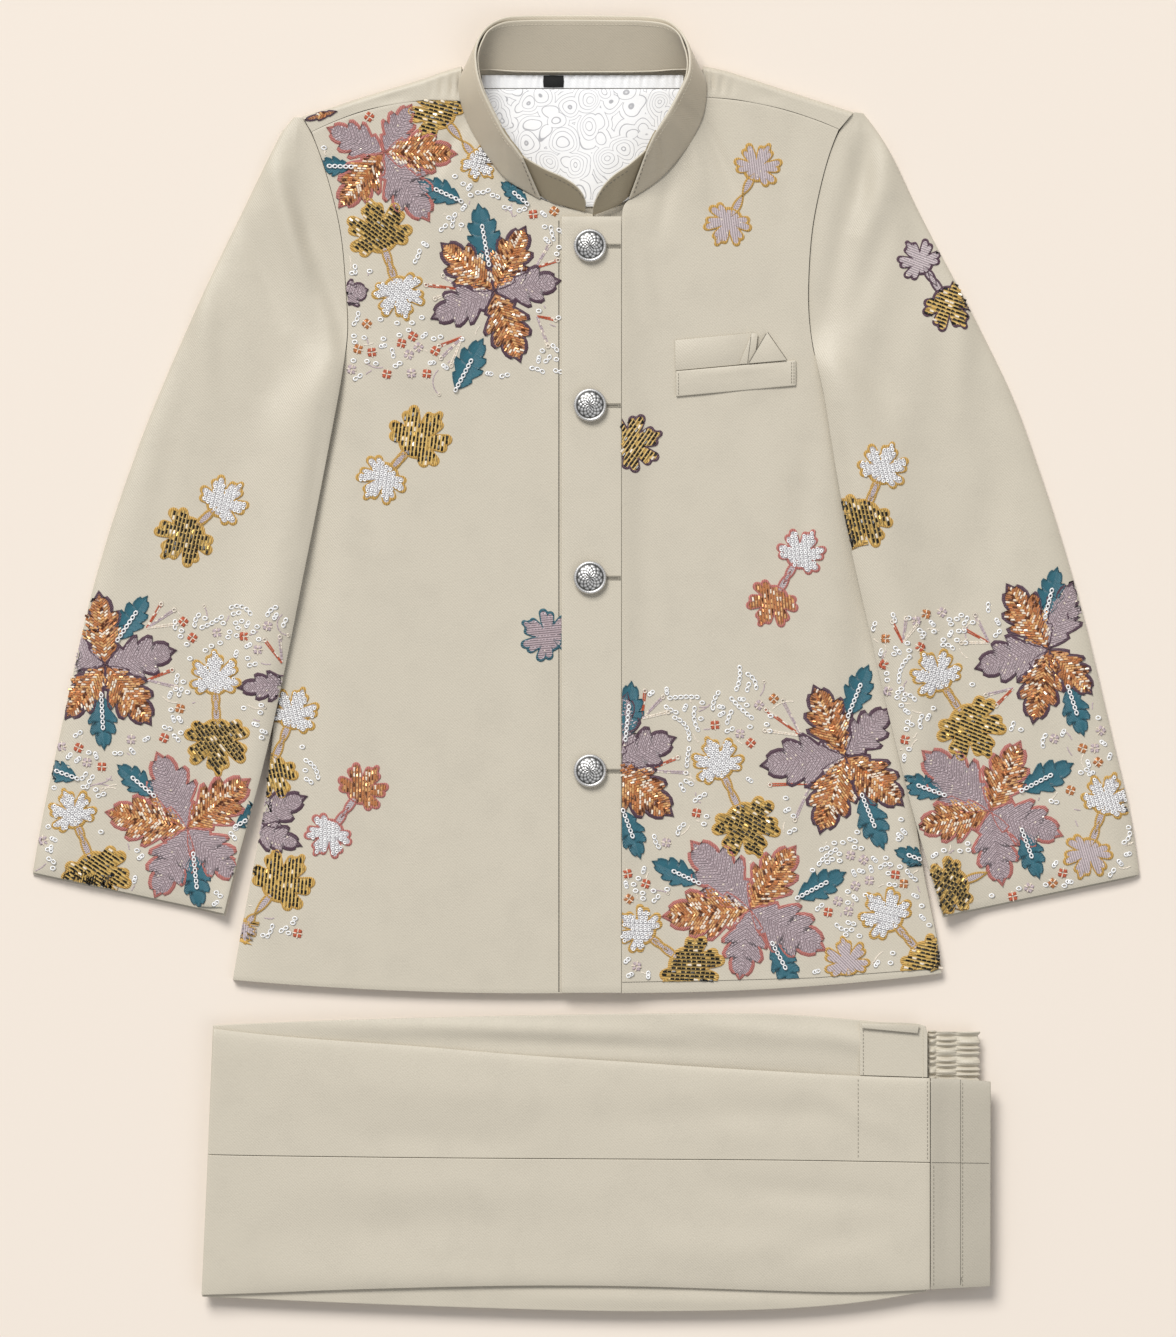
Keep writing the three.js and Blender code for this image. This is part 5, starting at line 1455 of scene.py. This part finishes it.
# %% Thread work
class Embroidery:
    """The thread work of the whole jacket: one mesh, with a map of the lie of its threads."""

    def __init__(self):
        self.bm = bmesh.new()
        self.lie = self.bm.loops.layers.uv.new("lie")
        self.taken = []

    def sheet(self, cloth, columns, rows, shape, cord, fill, is_cord):
        """shape(u, v) gives x, y, rise above the cloth, and the thread map's two values."""
        made = bmesh.ops.create_grid(self.bm, x_segments=columns, y_segments=rows, size=0.5)["verts"]
        maps = {}
        outside = set()
        faces = set()
        for vertex in made:
            u, v = grid_share(vertex)
            x, y, rise, across, along = shape(u, v)
            point, off = resting(cloth, x, y)
            vertex.co = (point + UP * rise) * MM
            maps[vertex] = (across, along, u)
            if off > OFF_CLOTH:
                outside.add(vertex)
            faces.update(vertex.link_faces)
        gone = []
        for face in faces:
            middle = sum(maps[vertex][2] for vertex in face.verts) / len(face.verts)
            face.material_index = THREAD_AT[cord if is_cord(face, middle) else FILLS[fill]]
            face.smooth = True
            for loop in face.loops:
                loop[self.lie].uv = maps[loop.vert][:2]
            if all(vertex in outside for vertex in face.verts) or face.calc_area() < SMALLEST_FACE:
                gone.append(face)
        if gone:
            bmesh.ops.delete(self.bm, geom=gone, context="FACES")

    def leaf(self, cloth, base, tip, half_width, fill, cord, teeth=3, cord_width=2.3):
        """A petal or leaf from its base to its tip, with its outline cord and its beads."""
        start = Vector((*base, 0))
        run = Vector((*tip, 0)) - start
        length = run.length
        ahead = run.normalized()
        side = Vector((-ahead.y, ahead.x, 0))
        rows = leaf_rows(teeth)
        scale = half_width / max(width for _, width, _ in rows)

        def shape(u, v):
            share, width, lean = rows[round(v * (len(rows) - 1))]
            width *= scale
            column = round(u * LEAF_COLUMNS) - LEAF_COLUMNS // 2
            inner = max(0.0, width - cord_width)
            reach = [0.0, inner * 0.5, inner, (inner + width) / 2, width][abs(column)]
            rise = [RIB_RISE, FILL_RISE, FILL_SIDE, CORD_RISE, SUNK][abs(column)]
            lean_here = lean * (reach / width if width > 0 else 0)
            place = start + ahead * (share + lean_here) * length + side * math.copysign(reach, column)
            return place.x, place.y, rise, reach, share * length - HERRINGBONE * reach

        def is_cord(face, middle):
            return abs(middle - 0.5) > 0.25

        self.sheet(cloth, LEAF_COLUMNS, len(rows) - 1, shape, cord, fill, is_cord)
        for share, room in LEAF_ROOM:
            spot = start + run * share
            self.taken.append((spot.x, spot.y, half_width * room + ROOM_ROUND))
        if fill not in PETAL_BEADS:
            return
        row_pitch, step = PETAL_BEADS[fill]
        for hand in (-1, 1):
            row = -10 * row_pitch
            while row < length:
                row += row_pitch
                reach = RIB_GAP
                while reach < WIDEST_HALF:
                    share = (row + HERRINGBONE * reach) / length
                    limit = width_at(rows, share) * scale - cord_width - CORD_GAP
                    if share > 0 and reach < limit:
                        spot = start + ahead * (share * length) + side * reach * hand
                        lie = (ahead * HERRINGBONE + side * hand).normalized()
                        self.bead(cloth, spot, lie, fill)
                    reach += step / math.hypot(1, HERRINGBONE) * (1 + chance.uniform(-0.08, 0.08))

    def bead(self, cloth, spot, lie, fill):
        """One bead of a fill, tilted a little, unless the cloth ends before it."""
        point, off = resting(cloth, spot.x, spot.y)
        if off > OFF_CLOTH:
            return
        point += UP * (RING_LIFT if fill == "white" else BEAD_LIFT)
        tilt = tilted(UP, BEAD_TILT)
        luck = chance.random()
        kind = next((kind for limit, kind in BEAD_ODDS[fill] if luck < limit), None)
        if fill == "white":
            small_rings.add(point, lie, BEAD_SIZES[fill], BEAD_AT[kind], (tilt + UP * 2).normalized())
        elif kind:
            bars.add(point, lie, BEAD_SIZES[fill], BEAD_AT[kind], tilt)

    def lobed(self, cloth, x, y, radius, facing, fill, cord, cord_width):
        """A leaf with rounded lobes in pairs round its middle, facing a direction in degrees."""
        turn = math.radians(facing)
        lie = math.radians(facing + LOBED_LIE)
        if fill == "gold":
            radius *= DARK_LEAF_SHARE

        def edge(angle):
            return radius * LOBE_SPREAD * lobe_reach(angle)

        def cord_at(angle):
            slope = (edge(angle + 0.02) - edge(angle - 0.02)) / (0.04 * edge(angle))
            return cord_width * min(STEEP_CORD, math.hypot(1, slope))

        def shape(u, v):
            angle = 2 * math.pi * u
            rim = edge(angle)
            cord_here = cord_at(angle)
            inner = rim - cord_here
            ring = round(v * LOBE_RINGS)
            reach = [0.0, inner * 0.35, inner * 0.62, inner * 0.84, inner, rim - cord_here / 2, rim][ring]
            rise = [FILL_RISE, FILL_RISE, FILL_RISE, FILL_RISE, FILL_SIDE, CORD_RISE, SUNK][ring]
            px = reach * math.cos(angle + turn)
            py = reach * math.sin(angle + turn)
            across = px * math.cos(lie) + py * math.sin(lie)
            along = py * math.cos(lie) - px * math.sin(lie)
            return x + px, y + py, rise, across, along

        def is_cord(face, middle):
            centre = face.calc_center_median() / MM
            offset = Vector((centre.x - x, centre.y - y))
            angle = math.atan2(offset.y, offset.x) - turn
            return offset.length > edge(angle) - cord_at(angle) * 1.02

        self.sheet(cloth, LOBE_STEPS, LOBE_RINGS, shape, cord, fill, is_cord)
        self.taken.append((x, y, radius + 0.6))
        back = math.radians(facing + 180)
        stem = [(x + radius * out * math.cos(back), y + radius * out * math.sin(back)) for out in STEM_ENDS]
        self.leaf(cloth, *stem, STEM_HALF_WIDTH, "silver", cord, 0, STEM_CORD)
        row_pitch, step = LOBE_BEADS[fill]
        direction = heading(lie)
        side = Vector((-direction.y, direction.x, 0))
        row = -radius
        while row < radius:
            row += row_pitch
            run = -radius + chance.uniform(0, step)
            while run < radius:
                run += step * (1 + chance.uniform(-0.06, 0.06))
                offset = direction * run + side * row
                angle = math.atan2(offset.y, offset.x) - turn
                if offset.length < edge(angle) - cord_at(angle) - LOBE_CORD_GAP:
                    self.bead(cloth, Vector((x, y, 0)) + offset, direction, fill)

    def build(self):
        bmesh.ops.remove_doubles(self.bm, verts=self.bm.verts, dist=SAME_POINT)
        made = from_bmesh("embroidery_threads", self.bm, THREADS)
        made.data.uv_layers["lie"].active_render = True
        print("embroidery", len(made.data.polygons) * 2, "triangles")
        return kept(made)


# %% [markdown]
# ## Flowers
# Five serrated petals meet at one point, and one flower shows three, because the placket hides the rest.
# Some petals are filled with copper beads and some with mauve thread, and the whole flower has one outline,
# rose or plum. Each row gives the middle, and for each petal its tip and fill.

# %% Flower table
FLOWERS = [
    (RIGHT_FRONT, "rose_cord", (-116.2, 294.2), [
        (-149.5, 308.6, "mauve"), (-100.1, 322.3, "mauve"), (-73.6, 293.4, "copper"), (-89.7, 254.0, "mauve"),
        (-142.6, 262.0, "copper")]),
    (RIGHT_FRONT, "plum_cord", (-52.9, 214.3), [
        (-84.0, 242.5, "copper"), (-34.5, 252.3, "copper"), (-13.8, 220.6, "mauve"), (-37.4, 172.9, "copper"),
        (-89.7, 198.2, "mauve")]),
    (RIGHT_SLEEVE, "plum_cord", (-276.6, -0.7), [
        (-280.6, 42.4, "copper"), (-235.2, 7.9, "mauve"), (-249.6, -35.8, "copper"),
        (-300.2, -32.4, "copper"), (-313.0, 12.0, "mauve")]),
    (RIGHT_SLEEVE, "rose_cord", (-229.4, -94.5), [
        (-247.3, -50.2, "mauve"), (-192.6, -65.7, "copper"), (-199.5, -124.4, "mauve"),
        (-248.4, -135.3, "mauve"), (-277.2, -85.3, "copper")]),
    (LEFT_FRONT, "rose_cord", (94.3, -141.0), [
        (59.8, -101.4, "mauve"), (121.0, -104.2, "copper"), (43.1, -145.6, "copper"), (88.0, -183.0, "mauve"),
        (138.6, -165.2, "mauve")]),
    (LEFT_FRONT, "plum_cord", (148.9, -53.1), [
        (130.5, -11.7, "copper"), (175.2, -25.0, "mauve"), (99.5, -58.8, "mauve"), (134.3, -98.5, "copper"),
        (183.3, -82.1, "copper")]),
    (LEFT_FRONT, "plum_cord", (11.8, -58.0), [
        (52.3, -42.1, "mauve"), (50.8, -88.0, "copper"), (24.0, -16.0, "mauve")]),
    (LEFT_SLEEVE, "rose_cord", (232.3, -84.7), [
        (192.6, -49.6, "mauve"), (250.1, -43.9, "copper"), (189.2, -94.5, "copper"), (239.8, -128.4, "mauve"),
        (274.9, -99.1, "mauve")]),
    (LEFT_SLEEVE, "plum_cord", (266.2, 8.5), [
        (241.5, 46.4, "copper"), (281.0, 48.0, "mauve"), (223.1, -3.0, "mauve"), (256.9, -35.2, "copper"),
        (291.8, -18.1, "copper")]),
]
PETAL_BREADTH = 0.33
work = Embroidery()
for cloth, cord, middle, petals in FLOWERS:
    for tip_x, tip_y, fill in petals:
        length = math.hypot(tip_x - middle[0], tip_y - middle[1])
        work.leaf(cloth, middle, (tip_x, tip_y), length * PETAL_BREADTH, fill, cord)
print(len(FLOWERS), "flowers")

# %% [markdown]
# ## Lobed leaves
# Lobed leaves come in pairs that point away from each other, one dark and one light, joined by their stems. A
# lone leaf is a row of its own with the direction that it faces.

# %% Lobed leaves
# Cloth, outline, and for both leaves the middle, size and fill
LEAF_PAIRS = [
    (RIGHT_FRONT, "gold_cord", (-97.2, 128.6, 16.6, "gold"), (-116.2, 107.4, 15.4, "white")),
    (RIGHT_SLEEVE, "gold_cord", (-229.4, 74.6, 15.8, "gold"), (-209.9, 92.4, 15.4, "white")),
    (RIGHT_FRONT, "gold_cord", (-118.5, 247.1, 17.0, "gold"), (-108.1, 214.3, 16.0, "white")),
    (RIGHT_FRONT, "gold_cord", (-84.5, 317.0, 15.0, "gold"), (-62.1, 289.6, 12.0, "white")),
    (RIGHT_FRONT, "rose_cord", (-129.4, -72.6, 15.2, "copper"), (-147.2, -97.3, 14.4, "white")),
    (RIGHT_FRONT, "gold_cord", (-168.8, -29.5, 15.4, "white"), (-181.7, -61.1, 15.0, "gold")),
    (RIGHT_FRONT, "gold_cord", (-176.0, -126.7, 16.6, "gold"), (-197.2, -152.2, 9.0, "silver")),
    (RIGHT_SLEEVE, "gold_cord", (-213.3, -9.4, 15.8, "white"), (-212.2, -42.7, 17.2, "gold")),
    (RIGHT_SLEEVE, "gold_cord", (-282.3, -119.5, 18.0, "gold"), (-295.0, -87.0, 14.6, "white")),
    (LEFT_SLEEVE, "gold_cord", (170.2, 111.4, 15.4, "white"), (159.3, 84.4, 15.8, "gold")),
    (LEFT_FRONT, "rose_cord", (123.1, 62.5, 14.8, "white"), (108.1, 36.6, 15.4, "copper")),
    (LEFT_FRONT, "gold_cord", (98.3, 285.0, 14.4, "silver"), (82.2, 254.6, 14.4, "silver")),
    (LEFT_SLEEVE, "plum_cord", (192.6, 231.0, 13.2, "silver"), (208.3, 208.1, 14.4, "gold")),
    (LEFT_FRONT, "gold_cord", (91.4, -91.0, 17.6, "gold"), (76.5, -58.2, 15.8, "white")),
    (LEFT_FRONT, "gold_cord", (58.7, -174.0, 17.6, "gold"), (32.2, -153.7, 14.6, "white")),
    (LEFT_FRONT, "gold_cord", (173.7, -145.6, 16.4, "white"), (194.8, -168.9, 14.4, "gold")),
    (LEFT_SLEEVE, "gold_cord", (220.2, -34.7, 18.0, "gold"), (202.4, -7.6, 15.8, "white")),
    (LEFT_SLEEVE, "gold_cord", (299.2, -78.9, 15.4, "white"), (289.2, -108.3, 15.0, "silver")),
]
# Cloth, outline, the leaf, and the direction that it faces in degrees
LONE_LEAVES = [
    (LEFT_FRONT, "gold_cord", (150.1, -172.2, 14.0, "silver"), 100),
    (LEFT_SLEEVE, "gold_cord", (210.5, -127.5, 15.4, "gold"), -160),
    (LEFT_FRONT, "plum_cord", (25.6, 126.3, 15.0, "gold"), 20),
    (RIGHT_FRONT, "teal_cord", (-21.6, 15.4, 15.6, "mauve"), 150),
]
PAIR_CORD = 1.9
FINE_CORD = 1.7
for cloth, cord, first, second in LEAF_PAIRS:
    facing = math.degrees(math.atan2(first[1] - second[1], first[0] - second[0]))
    for (x, y, radius, fill), way in ((first, facing), (second, facing + 180)):
        work.lobed(cloth, x, y, radius, way, fill, cord, PAIR_CORD if cord == "gold_cord" else FINE_CORD)
for cloth, cord, (x, y, radius, fill), facing in LONE_LEAVES:
    work.lobed(cloth, x, y, radius, facing, fill, cord, FINE_CORD)

# Half petals: two beside the sleeve, one on the sleeve's seam, one at the armhole and one on the shoulder
HALF_PETALS = [
    (RIGHT_FRONT, (-196.0, -94.0), (-163.0, -105.0), 10.0, "mauve", 3, 2.3),
    (RIGHT_FRONT, (-198.0, -92.0), (-160.0, -76.0), 12.0, "mauve", 3, 2.3),
    (RIGHT_SLEEVE, (-165.0, -12.0), (-201.0, -14.0), 9.5, "mauve", 3, 2.3),
    (RIGHT_FRONT, (-142.6, 210.8), (-125.0, 215.5), 8.8, "mauve", 2, 1.5),
    (RIGHT_SHOULDER_TOP, (-143.0, 318.0), (-163.0, 312.5), 3.0, "copper", 2, 1.1),
]
for cloth, base, tip, half_width, fill, teeth, cord_width in HALF_PETALS:
    work.leaf(cloth, base, tip, half_width, fill, "plum_cord", teeth, cord_width)

# %% [markdown]
# ## Teal leaves
# Small teal leaves stand between the petals, each with a short chain of white ring sequins along its midrib.

# %% Teal leaves
# For each cloth: the middle of a leaf, the direction of its tip in degrees, and its length
TEAL_LEAVES = [
    (RIGHT_FRONT, [
        (-146.1, 286.2, 178, 22), (-84.6, 272.0, 155, 28), (-59.0, 247.5, 100, 36), (-41.5, 271.0, 140, 20),
        (-67.0, 172.5, 62, 34)]),
    (RIGHT_SLEEVE, [
        (-260.8, 26.5, 56, 31), (-278.0, -34.0, -87, 32), (-259.3, -66.9, 140, 28), (-304.0, -62.0, 160, 24),
        (-224.2, -125.5, -84, 32), (-191.0, -87.5, 30, 24)]),
    (LEFT_FRONT, [
        (24.5, -26.5, 84, 34), (26.5, -98.5, -70, 30), (156.8, -15.1, 68, 32), (165.2, -91.5, -68, 34),
        (51.2, -119.8, 155, 30), (135.7, -127.2, 28, 32), (114.3, -174.2, -62, 30),
        (187.4, -110.8, 160, 22)]),
    (LEFT_SLEEVE, [
        (267.8, 41.5, 76, 30), (282.0, -27.7, -72, 30), (192.8, -70.7, 160, 28), (265.7, -65.0, 28, 34),
        (256.0, -110.0, -70, 30)]),
]
TEAL_BREADTH = 0.275
CHAIN_PITCH = 3.1
RING_LEAN = 0.2


def chain(cloth, points, pitch, radius, lift):
    """Ring sequins sewn in a row, each tilted a little on the next."""
    path = [Vector((x, y, 0)) for x, y in points]
    sizes = (radius * 1.12, radius * 0.86, 0.6)
    for spot, direction in along_path(path, pitch):
        point, off = resting(cloth, spot.x, spot.y)
        if off < LOOSE_OFF_CLOTH:
            tilt = tilted(UP - direction * RING_LEAN, 0.1)
            rings.add(point + UP * lift, direction, sizes, BEAD_AT["pearl"], tilt)


for cloth, leaves in TEAL_LEAVES:
    for x, y, facing, length in leaves:
        ahead = heading(math.radians(facing)).xy
        base = Vector((x, y)) - ahead * length / 2
        tip = Vector((x, y)) + ahead * length / 2
        work.leaf(cloth, base, tip, length * TEAL_BREADTH, "teal", "teal_cord", 3, 1.0)
        chain(cloth, [base - ahead * 1.5, base + ahead * length * 0.62], CHAIN_PITCH, 1.7, 1.1)

# %% [markdown]
# ## Chains, berries and stamens
# The ground between the motifs is scattered with short curved chains of ring sequins, single rings, round
# berries of radiating beads, and fine stamens with a bead at each end. They are placed by chance within each
# embroidered zone wherever the ground is still free.

# %% Fillers
BERRY = 3.0
BERRY_BEADS = 8
VINE_STEP = 1.9
# Length, breadth and height of the beads in vines and stamens, and of the rings at their ends
VINE_BEAD = (2.1, 0.7, 0.35)
VINE_END = (1.25, 1.25, 0.6)
STAMEN_BEAD = (1.95, 0.85, 0.45)
STAMEN_END = (1.7, 1.6, 0.7)
STAMEN_PITCH = 2.0
STAMEN_HALF_GAP = 0.62
LOOSE_RING = 1.8
LOOSE_RING_LIFT = 0.15
LOOSE_RING_ROOM = 1.35
PAIR_PITCH = 1.6


def is_free(x, y, radius):
    return all((x - cx) ** 2 + (y - cy) ** 2 > (radius + cr) ** 2 for cx, cy, cr in work.taken)


def is_on(cloth, x, y, margin):
    return all(resting(cloth, x + dx, y + dy)[1] < 0.1 for dx, dy in (
        (margin, 0), (-margin, 0), (0, margin), (0, -margin)))


def berry(cloth, x, y, kind):
    """A ring with beads round it, pale ones and ones of the berry's own kind by turns."""
    turn = chance.uniform(0, 1)
    point = resting(cloth, x, y)[0]
    rings.add(point, Vector((1, 0, 0)), (BERRY * 0.94, BERRY * 0.94, 0.35), BEAD_AT[kind])
    for step in range(BERRY_BEADS):
        ahead = heading(math.tau * step / BERRY_BEADS + turn)
        spot = Vector((x, y, 0)) + ahead * BERRY * 0.6
        point, off = resting(cloth, spot.x, spot.y)
        if off < LOOSE_OFF_CLOTH:
            colour, width = ("pale", 0.8) if step % 2 else (kind, 1.2)
            bars.add(point + UP * 0.2, ahead, (BERRY * 0.8, width, 0.5), BEAD_AT[colour])
    work.taken.append((x, y, BERRY + 0.5))


def wander(cloth, x, y, count):
    """A short chain that curves as it goes, for as long as the ground is free."""
    angle = chance.uniform(0, 2 * math.pi)
    bend = chance.uniform(-0.55, 0.55)
    points = []
    for _ in range(count):
        if not (is_free(x, y, 1.3) and is_on(cloth, x, y, 1.9)):
            break
        points.append((x, y))
        x += CHAIN_PITCH * math.cos(angle)
        y += CHAIN_PITCH * math.sin(angle)
        angle += bend
    if points:
        for px, py in points:
            work.taken.append((px, py, LOOSE_RING_ROOM))
        if len(points) == 1:
            points.append((points[0][0] + 0.8, points[0][1]))
        pitch = CHAIN_PITCH if len(points) > 2 else PAIR_PITCH
        chain(cloth, points, pitch, LOOSE_RING, LOOSE_RING_LIFT)


def vine(cloth, x, y):
    """A curl of pale thread with a bead at its end, unless it meets something."""
    angle = chance.uniform(0, 2 * math.pi)
    bend = chance.uniform(0.12, 0.3) * chance.choice((-1, 1))
    kind = chance.choice(("cream", "lilac"))
    for step in range(chance.randint(4, 8)):
        if not (is_free(x, y, 0.5) and is_on(cloth, x, y, 1.6)):
            return
        ahead = heading(angle)
        bars.add(resting(cloth, x, y)[0], ahead, VINE_BEAD, BEAD_AT[kind])
        x += VINE_STEP * ahead.x
        y += VINE_STEP * ahead.y
        angle += bend
    rings.add(resting(cloth, x, y)[0], UP.cross(ahead), VINE_END, BEAD_AT["cream"])


def stamen(cloth, start, end, kind):
    """Two close rows of small beads and a ring at the end."""
    root = Vector((*start, 0))
    head = Vector((*end, 0))
    run = head - root
    side = Vector((-run.y, run.x, 0)).normalized()
    for hand in (-STAMEN_HALF_GAP, STAMEN_HALF_GAP):
        ends = [root + side * hand * 0.4, head + side * hand]
        for spot, direction in along_path(ends, STAMEN_PITCH):
            point, off = resting(cloth, spot.x, spot.y)
            if off < LOOSE_OFF_CLOTH:
                colour = kind if chance.random() < 0.8 else "cream"
                bars.add(point, direction, STAMEN_BEAD, BEAD_AT[colour])
    point, off = resting(cloth, *end)
    if off < LOOSE_OFF_CLOTH:
        rings.add(point + UP * 0.1, run, STAMEN_END, BEAD_AT["cream"])
    middle = root + run / 2
    work.taken.append((middle.x, middle.y, run.length * 0.3))


# Cloth, root of the spray, and the ends of its stamens
SPRAYS = [
    (RIGHT_SLEEVE, (-252.7, 20.5), [(-244.4, 34.3), (-236.9, 30.9), (-235.2, 22.8)]),
    (RIGHT_SLEEVE, (-174.8, 0.4), [(-184.6, 13.6), (-176.0, 15.4)]),
    (RIGHT_SLEEVE, (-252.4, -9.4), [(-238.1, -3.6), (-235.8, -13.4)]),
    (RIGHT_FRONT, (-72.5, 215.5), [(-92.0, 217.8), (-82.2, 223.2), (-86.8, 210.0)]),
    (RIGHT_FRONT, (-71.3, 187.9), [(-84.5, 182.7), (-83.4, 175.8), (-77.6, 171.5)]),
    (RIGHT_FRONT, (-28.2, 199.9), [(-17.4, 197.9), (-21.9, 182.7)]),
    (RIGHT_FRONT, (-29.3, 227.5), [(-16.1, 232.1), (-20.7, 241.9)]),
    (LEFT_FRONT, (32.2, -31.6), [(33.9, -15.7), (44.3, -19.1), (47.2, -27.8)]),
    (LEFT_FRONT, (124.0, -41.6), [(103.5, -26.6), (113.3, -21.5), (102.9, -38.4)]),
    (LEFT_FRONT, (129.4, -68.9), [(105.8, -69.7), (120.2, -89.9)]),
    (LEFT_FRONT, (34.8, -61.5), [(52.9, -54.0), (57.8, -62.7)]),
    (LEFT_SLEEVE, (232.0, 12.0), [(217.5, 20.0), (224.0, 28.0), (216.0, 12.0)]),
    (LEFT_SLEEVE, (182.0, 12.0), [(176.0, 24.0), (184.0, 26.0), (190.0, 22.0)]),
    (LEFT_SLEEVE, (246.0, -14.0), [(236.0, -24.0), (230.0, -18.0)]),
]
for cloth, root, ends in SPRAYS:
    for number, end in enumerate(ends):
        stamen(cloth, root, end, ("rust", "lilac", "cream")[number % 3])

# Cloth, the zone's left, low, right and high limits, and how many berries, chains and rings it may hold
ZONES = [
    (RIGHT_FRONT, -152, 166, -16, 262, 16, 60, 24), (RIGHT_FRONT, -152, 255, -36, 322, 9, 44, 18),
    (RIGHT_SLEEVE, -316, -142, -165, -4, 22, 84, 36), (RIGHT_SLEEVE, -258, -6, -170, 30, 6, 26, 12),
    (RIGHT_FRONT, -204, -160, -162, -8, 5, 22, 8), (LEFT_FRONT, 22, -181, 203, -62, 30, 130, 50),
    (LEFT_FRONT, 22, -66, 110, -14, 5, 26, 12), (LEFT_SLEEVE, 172, -143, 318, -14, 22, 96, 36),
    (LEFT_SLEEVE, 166, -20, 240, 30, 6, 28, 12),
]
TRIES = 16
for cloth, left, low, right, high, berries, chains, singles in ZONES:
    for wanted, room, make in (
        (berries, 3.4, lambda x, y: berry(cloth, x, y, chance.choice(("rust", "lilac", "copper", "lilac")))),
        (chains, 1.4, lambda x, y: wander(cloth, x, y, chance.randint(3, 7))),
        (chains // 3, 1.0, lambda x, y: vine(cloth, x, y)),
        (singles, 1.4, lambda x, y: wander(cloth, x, y, 1)),
    ):
        for _ in range(wanted):
            for _ in range(TRIES):
                x = chance.uniform(left, right)
                y = chance.uniform(low, high)
                if is_free(x, y, room) and is_on(cloth, x, y, 2.4):
                    make(x, y)
                    break

work.build()
stitches.build("stitches", [stitch_thread, piping_cloth, seam_shade], "suiting")
bars.build("bead_bars", BEADS, "sequins")
rings.build("ring_sequins", BEADS, "sequins", smooth=True)
small_rings.build("fill_sequins", BEADS, "sequins", smooth=True)
